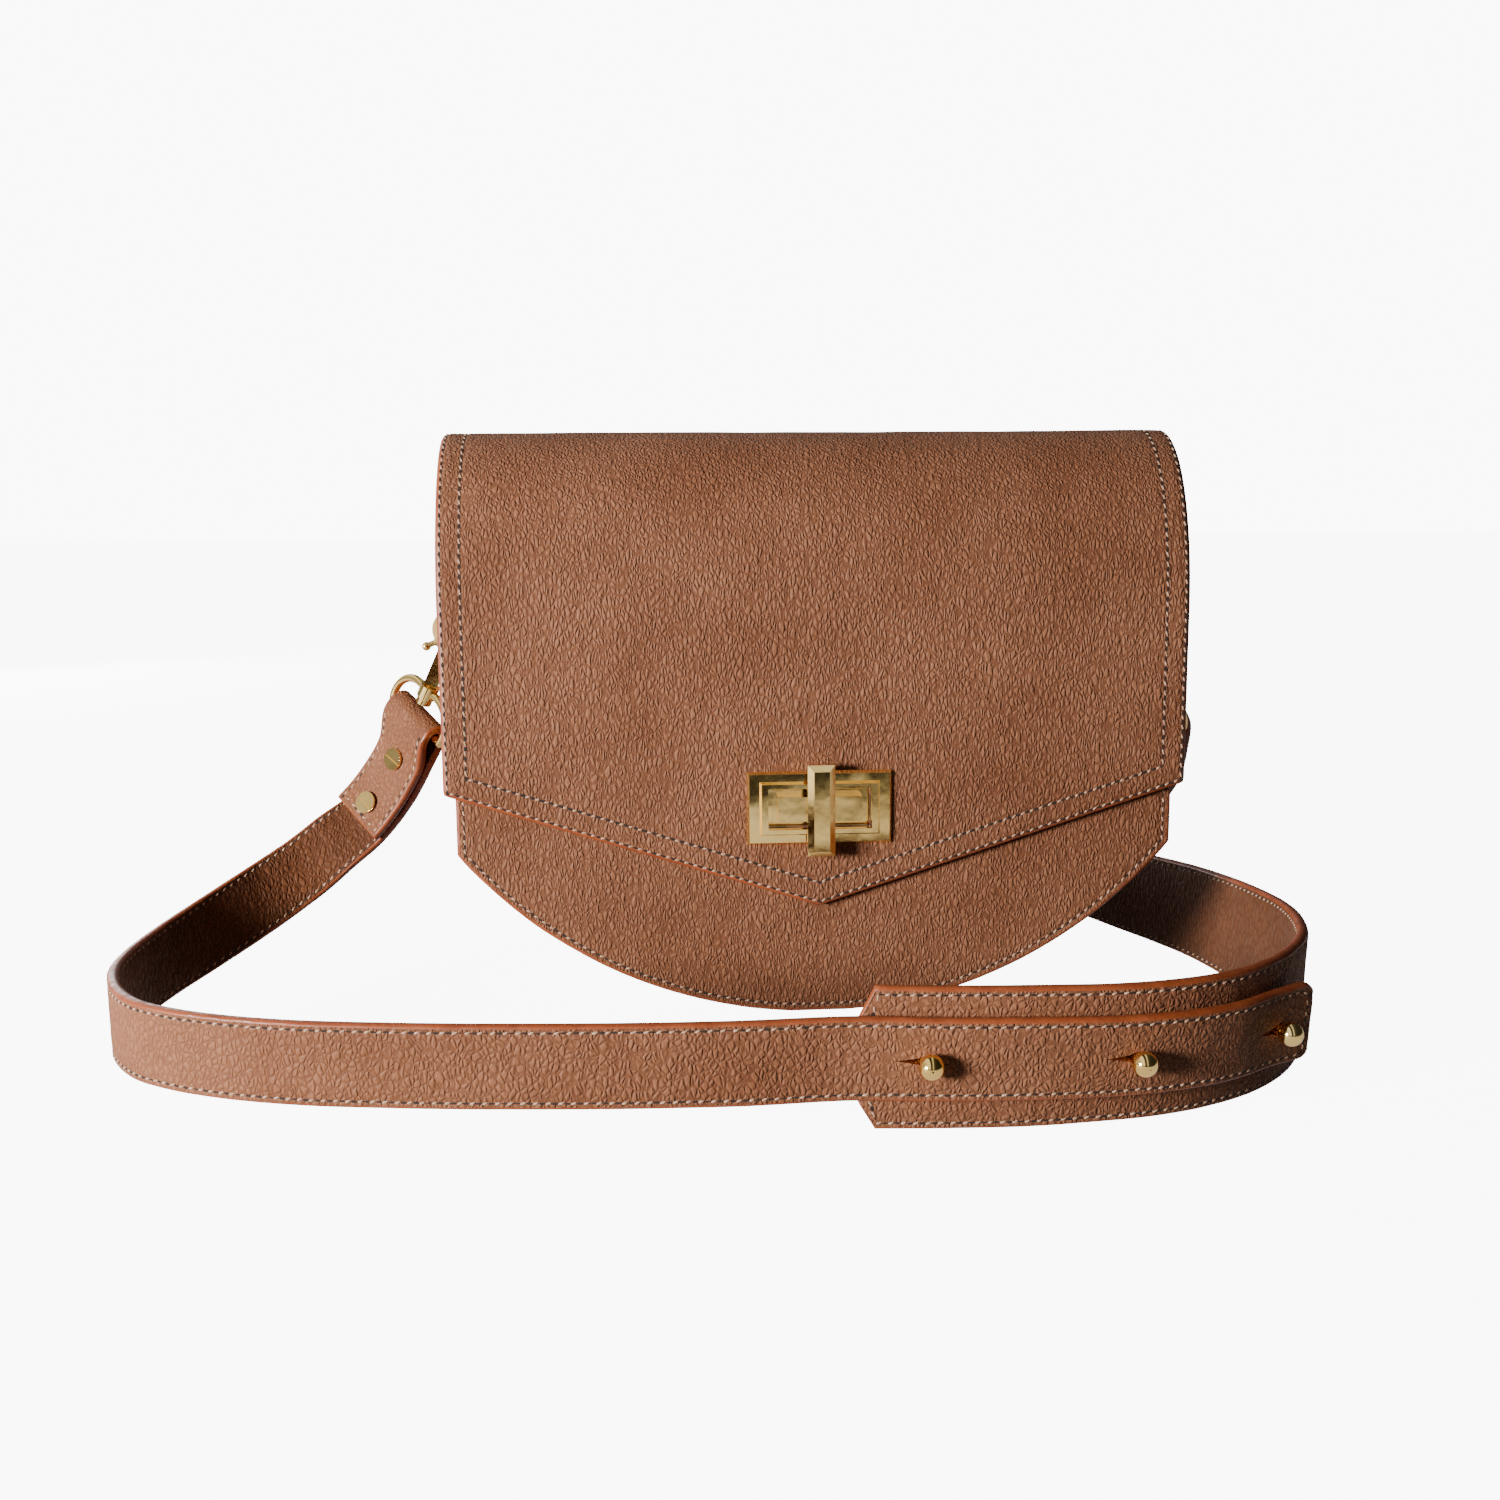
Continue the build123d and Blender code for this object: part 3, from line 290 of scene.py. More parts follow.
def board_material(name):
    """Pressed fibre board: matt, flecked and slightly uneven."""
    material, tree, shader, coords = node_tree(name)
    fleck = add_noise(tree, coords, 420, 6, 0.7)
    stops = ((0.3, (0.20, 0.15, 0.10)), (0.7, (0.42, 0.34, 0.24)))
    tree.links.new(add_ramp(tree, fleck, stops), shader.inputs["Base Color"])
    tree.links.new(add_bump(tree, fleck, 0.3, 0.0003), shader.inputs["Normal"])
    shader.inputs["Roughness"].default_value = 0.9
    return material


def metal(name, dark, light, rough_low, rough_high, scratch):
    """Polished plated metal with faint hairlines and handling marks."""
    material, tree, shader, coords = node_tree(name)
    tone = add_noise(tree, coords, 60, 3)
    tree.links.new(add_ramp(tree, tone, ((0.3, dark), (0.7, light))), shader.inputs["Base Color"])
    shader.inputs["Metallic"].default_value = 1.0
    smear = add_noise(tree, coords, 240, 5, 0.65)
    stops = ((0.3, (rough_low,) * 3), (0.75, (rough_high,) * 3))
    tree.links.new(add_ramp(tree, smear, stops), shader.inputs["Roughness"])
    place = tree.nodes.new("ShaderNodeMapping")
    place.inputs["Scale"].default_value = (1, 1, 14)
    tree.links.new(coords, place.inputs["Vector"])
    hair = add_noise(tree, place.outputs["Vector"], 900, 3)
    soft = add_noise(tree, coords, 130, 2)
    wave = add_bump(tree, add_noise(tree, coords, 60, 1), 0.25, 0.0012)
    normal = add_bump(tree, soft, 0.12, 0.0004, wave)
    tree.links.new(add_bump(tree, hair, scratch, 0.00002, normal), shader.inputs["Normal"])
    return material


LONG = (1.2, 1.2, 0.5)    # cells drawn out along the hide
LEATHER = leather("leather", (0.262, 0.101, 0.047), (0.372, 0.158, 0.082), 1.45, stretch=LONG, lean=24)
PANEL_LEATHER = leather("panel_leather", (0.262, 0.101, 0.047), (0.365, 0.155, 0.080), 1.4,
                        stretch=LONG, lean=24)
STRAP_LEATHER = leather("strap_leather", (0.262, 0.099, 0.046), (0.365, 0.152, 0.077), 1.5, 0.7, 0.6,
                        (1.0, 1.0, 0.7), 38)
# inner ply: its own darker leather, made darker still as painted shade for the inner faces that lie in the
# bag's shadow
STRAP_INSIDE_SHADED = leather("strap_inside", (0.115, 0.038, 0.013), (0.18, 0.062, 0.022), 2.2, 0.8, 0.6,
                       (1.5, 1.5, 0.5), -14)
GUSSET_LEATHER = leather("gusset_leather", (0.19, 0.066, 0.027), (0.27, 0.10, 0.042))
EDGE = edge_paint("edge_paint", (0.26, 0.052, 0.014), (0.42, 0.098, 0.028))
THREAD = thread("thread", (0.40, 0.21, 0.12), (0.78, 0.52, 0.35))
HOLE_SHADE = stitch_hole_shade("stitch_hole_shade")
CLOTH = woven("lining_cloth", (0.24, 0.15, 0.095), (0.34, 0.225, 0.145))
BOARD = board_material("fibre_board")
GOLD = metal("pale_gold", (0.90, 0.58, 0.17), (0.98, 0.71, 0.27), 0.05, 0.14, 0.12)
STEEL = metal("plain_steel", (0.45, 0.44, 0.42), (0.62, 0.61, 0.60), 0.28, 0.45, 0.4)


# ---- mesh helpers ----
def unit(vectors):
    vectors = np.asarray(vectors, float)
    length = np.linalg.norm(vectors, axis=-1, keepdims=True)
    return vectors / np.maximum(length, 1e-9)


def wobble(points, scale, seed=0.0):
    """Smooth noise between about -1 and 1 at each point, with bumps of about scale mm."""
    flat = np.asarray(points, float).reshape(-1, 3) / scale + seed
    values = [noise.noise(Vector(p)) for p in flat]
    return np.array(values).reshape(np.asarray(points).shape[:-1])


def make_piece(name, points, faces, materials, face_materials, sharp_deg=48):
    """Mesh object from points in millimetres, with outward normals and a material per face."""
    mesh = bpy.data.meshes.new(name)
    mesh.from_pydata(packed(points).tolist(), [], faces)
    for material in materials:
        mesh.materials.append(material)
    mesh.polygons.foreach_set("material_index", face_materials)
    mesh.update()
    work = bmesh.new()
    work.from_mesh(mesh)
    bmesh.ops.recalc_face_normals(work, faces=work.faces)
    work.to_mesh(mesh)
    work.free()
    mesh.polygons.foreach_set("use_smooth", [True] * len(mesh.polygons))
    mesh.set_sharp_from_angle(angle=math.radians(sharp_deg))
    piece = bpy.data.objects.new(name, mesh)
    bpy.context.scene.collection.objects.link(piece)
    return piece


def border_of(n, m):
    """Grid positions round the rim of an n by m grid, in order."""
    ring = [(i, 0) for i in range(n)]
    ring += [(n - 1, j) for j in range(1, m)]
    ring += [(i, m - 1) for i in range(n - 2, -1, -1)]
    ring += [(0, j) for j in range(m - 2, 0, -1)]
    return ring


def grid_normals(core):
    return unit(np.cross(np.gradient(core, axis=0), np.gradient(core, axis=1)))


def thick_sheet(name, core, half, materials, half_in=None, square=None, normals=None):
    """Closed sheet round a grid of middle points, with rounded, painted rims.

    core is inset from the outline by the rim's radius.  half and half_in are the thicknesses
    from the core to the outer and inner face.  square(i, j) is true where the rim is cut flat.
    materials are for the outer face, the inner face and the rim.  normals, where given, point
    out of the outer face; otherwise they come from the grid.
    """
    n, m, _ = core.shape
    half = np.broadcast_to(half, (n, m))
    half_in = half if half_in is None else np.broadcast_to(half_in, (n, m))
    normals = grid_normals(core) if normals is None else normals
    outer = (core + normals * half[..., None]).reshape(-1, 3)
    inner = (core - normals * half_in[..., None]).reshape(-1, 3)
    ring = border_of(n, m)
    rows, cols = np.array(ring).T
    edge = core[rows, cols]
    edge_normal = normals[rows, cols]
    along = np.roll(edge, -1, axis=0) - np.roll(edge, 1, axis=0)
    away = unit(np.cross(along, edge_normal))
    inside = core[np.clip(rows, 1, n - 2), np.clip(cols, 1, m - 2)]
    sign = np.sign(np.sum(away * (edge - inside), axis=1, keepdims=True))
    away = away * np.where(sign == 0, 1, sign)
    reach = np.array([0.0 if square and square(i, j) else 1.0 for i, j in ring])
    rings = []
    for degrees in (52, 18, -18, -52):
        angle = math.radians(degrees)
        thick = half if degrees > 0 else half_in
        level = thick[rows, cols] * math.sin(angle)
        out = half[rows, cols] * math.cos(angle) * reach
        rings.append(edge + edge_normal * level[:, None] + away * out[:, None])
    points = np.vstack([outer, inner] + rings)
    faces, kinds = [], []
    for i in range(n - 1):
        for j in range(m - 1):
            a, b, c, d = i * m + j, (i + 1) * m + j, (i + 1) * m + j + 1, i * m + j + 1
            faces.append((a, b, c, d))
            faces.append((a + n * m, d + n * m, c + n * m, b + n * m))
            kinds += [0, 1]
    count = len(ring)
    loops = [[i * m + j for i, j in ring]]
    loops += [[2 * n * m + k * count + q for q in range(count)] for k in range(4)]
    loops.append([n * m + i * m + j for i, j in ring])
    for first, second in zip(loops, loops[1:]):
        for q in range(count):
            r = (q + 1) % count
            faces.append((first[q], second[q], second[r], first[r]))
            kinds.append(2)
    return make_piece(name, points, faces, materials, kinds)


def edge_lines(low, high, fine, step, keep=()):
    """Grid lines from low to high: close together at both ends, step apart between."""
    inner_low, inner_high = low + fine[-1], high - fine[-1]
    count = max(2, round((inner_high - inner_low) / step))
    lines = [low + d for d in fine] + [high - d for d in fine]
    lines += [inner_low + (inner_high - inner_low) * k / count for k in range(1, count)]
    lines += list(keep)
    return np.unique(np.round(lines, 4))


def groove(distance, rows, depth, width=0.6):
    """How far a sewn row pulls the leather in."""
    pull = np.zeros_like(distance)
    for row in rows:
        pull += depth * np.exp(-((distance - row) / width) ** 2)
    return pull


def boolean_cut(piece, cutter):
    """Cuts a piece with a cutter, which is then removed."""
    modifier = piece.modifiers.new("cut", "BOOLEAN")
    modifier.operation = "DIFFERENCE"
    modifier.solver = "EXACT"
    modifier.object = cutter
    modifier.material_mode = "TRANSFER"
    bpy.context.view_layer.update()
    result = bpy.data.meshes.new_from_object(piece.evaluated_get(bpy.context.evaluated_depsgraph_get()))
    piece.modifiers.clear()
    piece.data = result
    result.set_sharp_from_angle(angle=math.radians(40))
    bpy.data.objects.remove(cutter)


def prism(name, outline, to_world, low, high, material):
    """Cutter: a flat outline of (a, b) points pushed from low to high."""
    count = len(outline)
    points = [to_world(a, b, low) for a, b in outline] + [to_world(a, b, high) for a, b in outline]
    faces = [tuple(range(count)), tuple(range(2 * count - 1, count - 1, -1))]
    faces += [(k, (k + 1) % count, count + (k + 1) % count, count + k) for k in range(count)]
    return make_piece(name, points, faces, [material], [0] * len(faces))


# ---- stitches ----
STITCH_RINGS = ((-1.0, 0.25), (-0.82, 0.8), (-0.35, 1.0), (0.35, 1.0), (0.82, 0.8), (1.0, 0.25))


def on_surface(piece, path, normals, start=1.3):
    """Moves points along their normals onto the surface of a piece, in millimetres."""
    mesh = piece.data
    tree = BVHTree.FromPolygons([v.co for v in mesh.vertices], [tuple(f.vertices) for f in mesh.polygons])
    found = []
    for point, normal in zip(path, normals):
        origin = Vector(packed(point + normal * start))
        hit = tree.ray_cast(origin, Vector(-normal), 2.6 * start * MM)[0]
        found.append(point if hit is None else np.array(hit) / MM - ORIGIN)
    return np.array(found)


def stitches(name, piece, rows, pitch=STITCH_PITCH, width=0.62, slant=20):
    """Slanted thread stitches with small near-black discs of painted shade for the needle holes between
    them, along rows on a piece's surface.
    """
    points, faces, kinds = [], [], []
    sides = 6
    for path, normals in rows:
        path, normals = np.asarray(path, float), unit(normals)
        path = on_surface(piece, path, normals)
        lengths = np.r_[0, np.cumsum(np.linalg.norm(np.diff(path, axis=0), axis=1))]
        count = max(1, round(lengths[-1] / pitch))
        gap = lengths[-1] / count
        for k in range(count):
            at = (k + 0.5) * gap
            here = np.array([np.interp(at, lengths, path[:, c]) for c in range(3)])
            up = unit(np.array([np.interp(at, lengths, normals[:, c]) for c in range(3)]))
            back = np.array([np.interp(at - 0.5, lengths, path[:, c]) for c in range(3)])
            ahead = np.array([np.interp(at + 0.5, lengths, path[:, c]) for c in range(3)])
            along = unit(ahead - back)
            side = np.cross(up, along)
            lean = math.radians(slant)
            lean *= 1 + 0.35 * noise.noise(Vector(here / 2.3))
            line = along * math.cos(lean) + side * math.sin(lean)
            cross = np.cross(up, line)
            reach = gap * (0.27 + 0.04 * noise.noise(Vector(here / 1.7)))
            base = len(points)
            for place, size in STITCH_RINGS:
                centre = here + line * place * reach + up * (0.12 - 0.24 * place ** 2)
                for s in range(sides):
                    turn = 2 * math.pi * s / sides
                    ring = cross * math.cos(turn) * width / 2 + up * math.sin(turn) * width * 0.36
                    points.append(centre + ring * size)
            for r in range(len(STITCH_RINGS) - 1):
                for s in range(sides):
                    a, b = base + r * sides + s, base + r * sides + (s + 1) % sides
                    faces.append((a, b, b + sides, a + sides))
                    kinds.append(0)
            last = base + (len(STITCH_RINGS) - 1) * sides
            faces.append(tuple(base + s for s in range(sides - 1, -1, -1)))
            faces.append(tuple(last + s for s in range(sides)))
            kinds += [0, 0]
            # small near-black disc between stitches: painted shade for the needle hole
            hole = here + along * gap * 0.5
            base = len(points)
            for s in range(8):
                turn = math.pi * s / 4
                rim = along * math.cos(turn) * 0.82 + side * math.sin(turn) * 0.50
                points.append(hole + rim + up * 0.05)
            points.append(hole + up * 0.09)
            points.append(hole - up * 0.25)
            for s in range(8):
                a, b = base + s, base + (s + 1) % 8
                faces.append((a, b, base + 8))
                faces.append((b, a, base + 9))
                kinds += [1, 1]
    return make_piece(name, points, faces, [THREAD, HOLE_SHADE], kinds, 70)


# ---- the side view of the bag ----
class Profile:
    """Outline over the top of the bag, by its length from the highest point (front positive)."""

    def __init__(self, half_depth):
        angles = np.radians(np.linspace(0, 90, 241))
        dome_y = -half_depth * np.sin(angles)
        dome_z = DOME_Z + (half_depth + DOME_EXTRA) * np.cos(angles)
        self.y = np.r_[dome_y, -half_depth]
        self.z = np.r_[dome_z, -40.0]
        self.s = np.r_[0, np.cumsum(np.hypot(np.diff(self.y), np.diff(self.z)))]
        slope = np.r_[angles, angles[-1]]
        normal_y = -np.sin(slope) / half_depth
        normal_z = np.cos(slope) / (half_depth + DOME_EXTRA)
        size = np.hypot(normal_y, normal_z)
        self.ny, self.nz = normal_y / size, normal_z / size

    def length_at(self, z):
        return np.interp(-np.asarray(z, float), -self.z, self.s)

    def at(self, x, s, depth=0.0):
        """Point on the outline, depth mm below it; s is negative on the back."""
        x, s = np.broadcast_arrays(np.asarray(x, float), np.asarray(s, float))
        side = np.where(s < 0, -1.0, 1.0)
        ny = np.interp(abs(s), self.s, self.ny) * side
        nz = np.interp(abs(s), self.s, self.nz)
        y = np.interp(abs(s), self.s, self.y) * side - ny * depth
        z = np.interp(abs(s), self.s, self.z) - nz * depth
        return np.stack([x, y, z], -1), np.stack([np.zeros_like(ny), ny, nz], -1)


FLAP = Profile(FLAP_HALF_D)
V_SLOPE = (CORNER_Z - TIP_Z) / FLAP_HALF_W
V_COS = math.cos(math.atan(V_SLOPE))
FINE = (0, 0.7, 1.4, 2.1, 3.0, 4.6, 6.6, 7.4, 8.0, 8.7, 10.2)


def flap_edge_length(x):
    """Length from the top of the flap down to its pointed front edge."""
    return FLAP.length_at(TIP_Z + abs(np.asarray(x, float)) * V_SLOPE)


def flap_grid(s_of_x, count, x_lines):
    """Grid of (x, s) with fine lines along the lower edge."""
    rim = FLAP_T / 2
    ends = s_of_x(x_lines) - rim / V_COS
    top = np.linspace(0, 1, count, endpoint=False)
    fine = np.array(FINE[::-1]) / V_COS
    upper = top[None, :] * (ends - fine[0])[:, None]
    lower = ends[:, None] - fine[None, :]
    s = np.hstack([upper, lower])
    return np.repeat(x_lines[:, None], s.shape[1], axis=1), s


def flap_swell(points, edge_distance):
    """Unevenness of the outer face: soft waves, thinned edges and pulled-in rows."""
    swell = 0.38 * wobble(points, 46, 3.1) + 0.16 * wobble(points, 15, 9.7)
    swell *= np.clip(edge_distance / 14, 0, 1)
    swell -= groove(edge_distance, FLAP_ROWS, 0.30)
    swell -= 0.45 * np.exp(-edge_distance / 1.1)
    return swell


def lock_pull(x, z):
    """Small ridges where the leather is pinched round the lock, strongest just above it."""
    dx, dz = x, z - LOCK_Z - 10
    away = np.hypot(dx / 1.3, dz)
    ridges = np.cos(5 * np.arctan2(dx, dz + 6))
    return 0.35 * ridges * np.exp(-(away / 15) ** 2) * (dz > -16)


def flap_front_piece():
    x_lines = edge_lines(-FLAP_HALF_W + FLAP_T / 2, FLAP_HALF_W - FLAP_T / 2, FINE, 3.6, (0,))
    x, s = flap_grid(flap_edge_length, 46, x_lines)
    core, normals = FLAP.at(x, s, FLAP_T / 2)
    distance = np.minimum(FLAP_HALF_W - abs(x), (flap_edge_length(x) - s) * V_COS)
    swell = flap_swell(core, distance) + lock_pull(x, core[..., 2])
    if grid_normals(core)[0, -1][1] > 0:
        core, normals, swell = core[::-1], normals[::-1], swell[::-1]
    piece = thick_sheet(
        "flap_front_leather", core, FLAP_T / 2 + swell, [LEATHER, CLOTH, EDGE],
        half_in=FLAP_T / 2, square=lambda i, j: j == 0, normals=normals,
    )
    outline = [(-SLOT_W / 2, -SLOT_H / 2), (SLOT_W / 2, -SLOT_H / 2),
               (SLOT_W / 2, SLOT_H / 2), (-SLOT_W / 2, SLOT_H / 2)]
    cutter = prism("slot_cutter", outline, lambda a, b, c: (a, c, LOCK_Z + b), -50, -20, EDGE)
    boolean_cut(piece, cutter)
    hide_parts("flap_front", "flap_front_lining")
    return piece


def flap_back_piece():
    x_lines = edge_lines(-FLAP_HALF_W + FLAP_T / 2, FLAP_HALF_W - FLAP_T / 2, FINE, 3.6, (0,))
    end = float(FLAP.length_at(BAND_Z))
    x, s = flap_grid(lambda v: np.full_like(v, end), 26, x_lines)
    core, normals = FLAP.at(x, -s, FLAP_T / 2)
    distance = np.minimum(FLAP_HALF_W - abs(x), end - s)
    swell = flap_swell(core, distance)
    if grid_normals(core)[0, -1][1] < 0:
        core, normals, swell = core[::-1], normals[::-1], swell[::-1]
    piece = thick_sheet(
        "flap_back_leather", core, FLAP_T / 2 + swell, [LEATHER, CLOTH, EDGE],
        half_in=FLAP_T / 2, square=lambda i, j: j == 0, normals=normals,
    )
    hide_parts("flap_crown", "flap_crown_lining", "flap_back_band")
    return piece


def flap_row(offset, front):
    """One stitch row on half of the flap, offset inside its edge."""
    side = FLAP_HALF_W - offset
    if front:
        low = flap_edge_length(side) - offset / V_COS
        tip = flap_edge_length(0.0) - offset / V_COS
        down = [(-side, s) for s in np.linspace(0.5, float(low), 90)]
        left = [(-side * (1 - t), float(low) + (float(tip) - float(low)) * t) for t in np.linspace(0, 1, 60)]
        right = [(-x, s) for x, s in reversed(left)]
        rise = [(side, s) for s in np.linspace(float(low), 0.5, 90)]
        parts = [down, left, right, rise]
    else:
        end = float(FLAP.length_at(BAND_Z)) - offset
        down = [(-side, -s) for s in np.linspace(0.5, end, 60)]
        across = [(x, -end) for x in np.linspace(-side, side, 60)]
        rise = [(side, -s) for s in np.linspace(end, 0.5, 60)]
        parts = [down, across, rise]
    rows = []
    for part in parts:
        xs, ss = np.array(part).T
        rows.append(FLAP.at(xs, ss))
    return rows


def ride_flap_front(piece):
    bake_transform(piece)


def ride_flap_back(piece):
    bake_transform(piece)


def make_flap():
    front, back = flap_front_piece(), flap_back_piece()
    ride_flap_front(front)
    ride_flap_back(back)
    for number, offset in enumerate(FLAP_ROWS, 1):
        ride_flap_front(stitches(f"flap_front_stitches_{number}", front, flap_row(offset, True)))
        ride_flap_back(stitches(f"flap_back_stitches_{number}", back, flap_row(offset, False)))


# ---- body ----
CENTRE_Z = BOTTOM_R - BOTTOM_SAG


def half_width(z, inset):
    """Half width of the half-moon outline at a height."""
    radius = BOTTOM_R - inset
    chord = np.sqrt(np.maximum(radius ** 2 - (CENTRE_Z - np.minimum(z, CENTRE_Z)) ** 2, 0))
    return np.minimum(chord, BODY_HALF_W - inset)


def moon_levels(inset, top, step=3.0):
    """Heights of grid rows, evenly spaced along the outline."""
    radius = BOTTOM_R - inset
    start = math.acos(min(1.0, (CENTRE_Z - inset) / radius))
    corner = math.asin((BODY_HALF_W - inset) / radius)
    turns = np.linspace(start, corner, round(radius * (corner - start) / step))
    arc = CENTRE_Z - radius * np.cos(turns)
    count = round((top - inset - arc[-1]) / 4)
    return np.r_[arc, np.linspace(arc[-1], top - inset, count + 1)[1:]]


def depth_at(z, depth):
    """Half depth of the side view at a height."""
    rise = np.clip((z - DOME_Z) / (depth + DOME_EXTRA), 0, 1)
    return depth * np.sqrt(1 - rise ** 2)


def moon_grid(inset, top, depth, side, fine):
    levels = moon_levels(inset, top)
    widths = half_width(levels, inset)
    share = np.linspace(-1, 1, 47)
    rows = []
    for z, w in zip(levels, widths):
        near = np.minimum(np.array(fine), 0.6 * w * np.array(fine) / fine[-1])
        inner = w - near[-1]
        xs = np.r_[-w + near[:-1], share * inner, (w - near[:-1])[::-1]]
        rows.append(np.stack([xs, np.full_like(xs, side * depth_at(z, depth)), np.full_like(xs, z)], -1))
    return np.array(rows)


def moon_distance(core):
    """Distance of grid points from the outline of the body."""
    x, z = abs(core[..., 0]), core[..., 2]
    below = BOTTOM_R - np.hypot(x, CENTRE_Z - z)
    return np.minimum(np.where(z < CENTRE_Z, below, 99), BODY_HALF_W - x)


def facing(core, half, direction):
    """Turns a grid over if its normals point the wrong way."""
    middle = grid_normals(core)[core.shape[0] // 2, core.shape[1] // 2]
    if np.dot(middle, direction) > 0:
        return core, half
    return core[::-1], half[::-1]


def panel_piece(name, side, top):
    core = moon_grid(PANEL_T / 2, top, BODY_HALF_D - PANEL_T / 2, side, (0, 0.7, 1.5, 2.3, 3.1, 4.5))
    distance = moon_distance(core)
    swell = 0.25 * wobble(core, 40, 5.5) * np.clip(distance / 10, 0, 1)
    swell += 0.10 * wobble(core, 13, 1.5) - groove(distance, (PANEL_ROW,), 0.28)
    swell -= 0.35 * np.exp(-distance / 0.9)
    core, half = facing(core, PANEL_T / 2 + swell, (0, side, 0))
    piece = thick_sheet(name + "_leather", core, half, [PANEL_LEATHER, PANEL_LEATHER, EDGE],
                        half_in=PANEL_T / 2)
    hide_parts(name)
    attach(piece, "bag")
    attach(stitches(name + "_stitches", piece, panel_row(side, top - 4)), "bag")


def outline_path(inset, top, step=1.5):
    """Points along the half-moon from the top left, round the bottom, to the top right."""
    levels = moon_levels(inset, top, step)
    widths = half_width(levels, inset)
    left = np.stack([-widths, levels], -1)[::-1]
    right = np.stack([widths, levels], -1)
    return np.vstack([left, right])


def panel_row(side, top):
    path = outline_path(PANEL_ROW, top)
    y = side * depth_at(path[:, 1], BODY_HALF_D)
    points = np.stack([path[:, 0], y, path[:, 1]], -1)
    normals = np.tile((0.0, side, 0.0), (len(points), 1))
    return [(points, normals)]


def channel_piece(name, inset, section, thickness, top, materials, sag=0.0):
    """Long strip bent round the half-moon; section is (outward, y) of its middle line."""
    path = outline_path(inset, top, 4.0)
    along = unit(np.gradient(path, axis=0))
    outward = np.stack([along[:, 1], -along[:, 0]], -1)
    middle = np.array([0, CENTRE_Z])
    outward *= np.sign(np.sum(outward * (path - middle), axis=1, keepdims=True))
    full = depth_at(0.0, BODY_HALF_D)
    rows = []
    for (x, z), (ox, oz) in zip(path, outward):
        share = depth_at(z, BODY_HALF_D) / full
        row = []
        for out, y in section:
            hollow = sag * math.cos(math.pi * y / 54) * noise_scale(x, z)
            reach = out - (hollow if abs(y) < 24 else 0)
            row.append((x + ox * reach, y * share, z + oz * reach))
        rows.append(row)
    core = np.array(rows, float)
    n, m = core.shape[:2]
    if np.dot(grid_normals(core)[n // 2, m // 2], (0, 0, -1)) < 0:
        core = core[::-1]
    half = np.full((n, m), thickness / 2) + 0.12 * wobble(core, 14, 7.7)
    return thick_sheet(name, core, half, materials, half_in=thickness / 2)


def noise_scale(x, z):
    return 1 + 0.5 * noise.noise(Vector((x / 30, z / 30, 2.5)))


def make_gusset():
    inner = -(GUSSET_IN + GUSSET_T / 2)
    edge_y = BODY_HALF_D - PANEL_T - BODY_CLEAR - GUSSET_T / 2
    flange = [(o, -edge_y) for o in (0, -1.5, -3, -4.5)]
    corner = [(inner + 1.5, -edge_y + 0.3), (inner + 0.4, -edge_y + 1.4)]
    web = [(inner, y) for y in np.linspace(-edge_y + 3, 0, 9)]
    half = flange + corner + web
    section = half + [(o, -y) for o, y in reversed(half[:-1])]
    piece = channel_piece("gusset_leather_strip", 1.0, section, GUSSET_T, GUSSET_TOP,
                          [GUSSET_LEATHER, GUSSET_LEATHER, EDGE], 1.6)
    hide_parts("gusset")
    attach(piece, "bag")
    lining_y = BODY_HALF_D - 4.4
    out = -(GUSSET_IN + GUSSET_T + 0.1 + LINING_T / 2)
    section = [(out, y) for y in np.linspace(-lining_y, lining_y, 19)]
    lining = channel_piece("gusset_cloth", 1.0, section, LINING_T, GUSSET_TOP - 1,
                           [CLOTH, CLOTH, CLOTH], 1.7)
    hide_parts("gusset_lining")
    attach(lining, "bag")


def lining_piece(name, side, top):
    """Lining cloth of a panel with slack waves."""
    depth = BODY_HALF_D - PANEL_T - BODY_CLEAR - BOARD_T - BODY_CLEAR - LINING_T / 2
    core = moon_grid(8.5, top, depth, side, (0, 1.5, 4))
    slack = np.clip(moon_distance(core) - 8, 0, 12) / 12
    core[..., 1] -= side * slack * (0.5 + 0.5 * wobble(core, 30, side * 4.4))
    core, half = facing(core, np.full(core.shape[:2], LINING_T / 2), (0, -side, 0))
    piece = thick_sheet(name + "_cloth", core, half, [CLOTH, CLOTH, CLOTH])
    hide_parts(name)
    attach(piece, "bag")


def pocket_piece():
    """Slip pocket on the back lining, with a rolled top hem."""
    fine, row = (0, 1, 2.5, 5), 1.5
    xs = edge_lines(-POCKET_HALF_W, POCKET_HALF_W, fine, 5)
    zs = edge_lines(POCKET_LOW, POCKET_HIGH, fine, 4)
    core = np.array([[(x, 0.0, z) for z in zs] for x in xs])
    core[..., 1] = POCKET_Y + 0.25 * wobble(core, 26, 2.2)
    hem = np.exp(-((core[..., 2] - POCKET_HIGH + 2.5) / 2.5) ** 2)
    core, half = facing(core, 0.35 + 0.35 * hem, (0, -1, 0))
    piece = thick_sheet("slip_pocket_cloth", core, half, [CLOTH, CLOTH, CLOTH])
    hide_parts("slip_pocket")
    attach(piece, "bag")
    wide, low, high = POCKET_HALF_W - row, POCKET_LOW + row, POCKET_HIGH - 2.5
    side = [(-wide, z) for z in np.linspace(high, low, 30)]
    side += [(x, low) for x in np.linspace(-wide, wide, 60)]
    side += [(wide, z) for z in np.linspace(low, high, 30)]
    points = [(x, POCKET_Y - 0.5, z) for x, z in side]
    rows = [(points, [(0, -1, 0)] * len(points))]
    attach(stitches("slip_pocket_stitches", piece, rows, 2.8, 0.4), "bag")


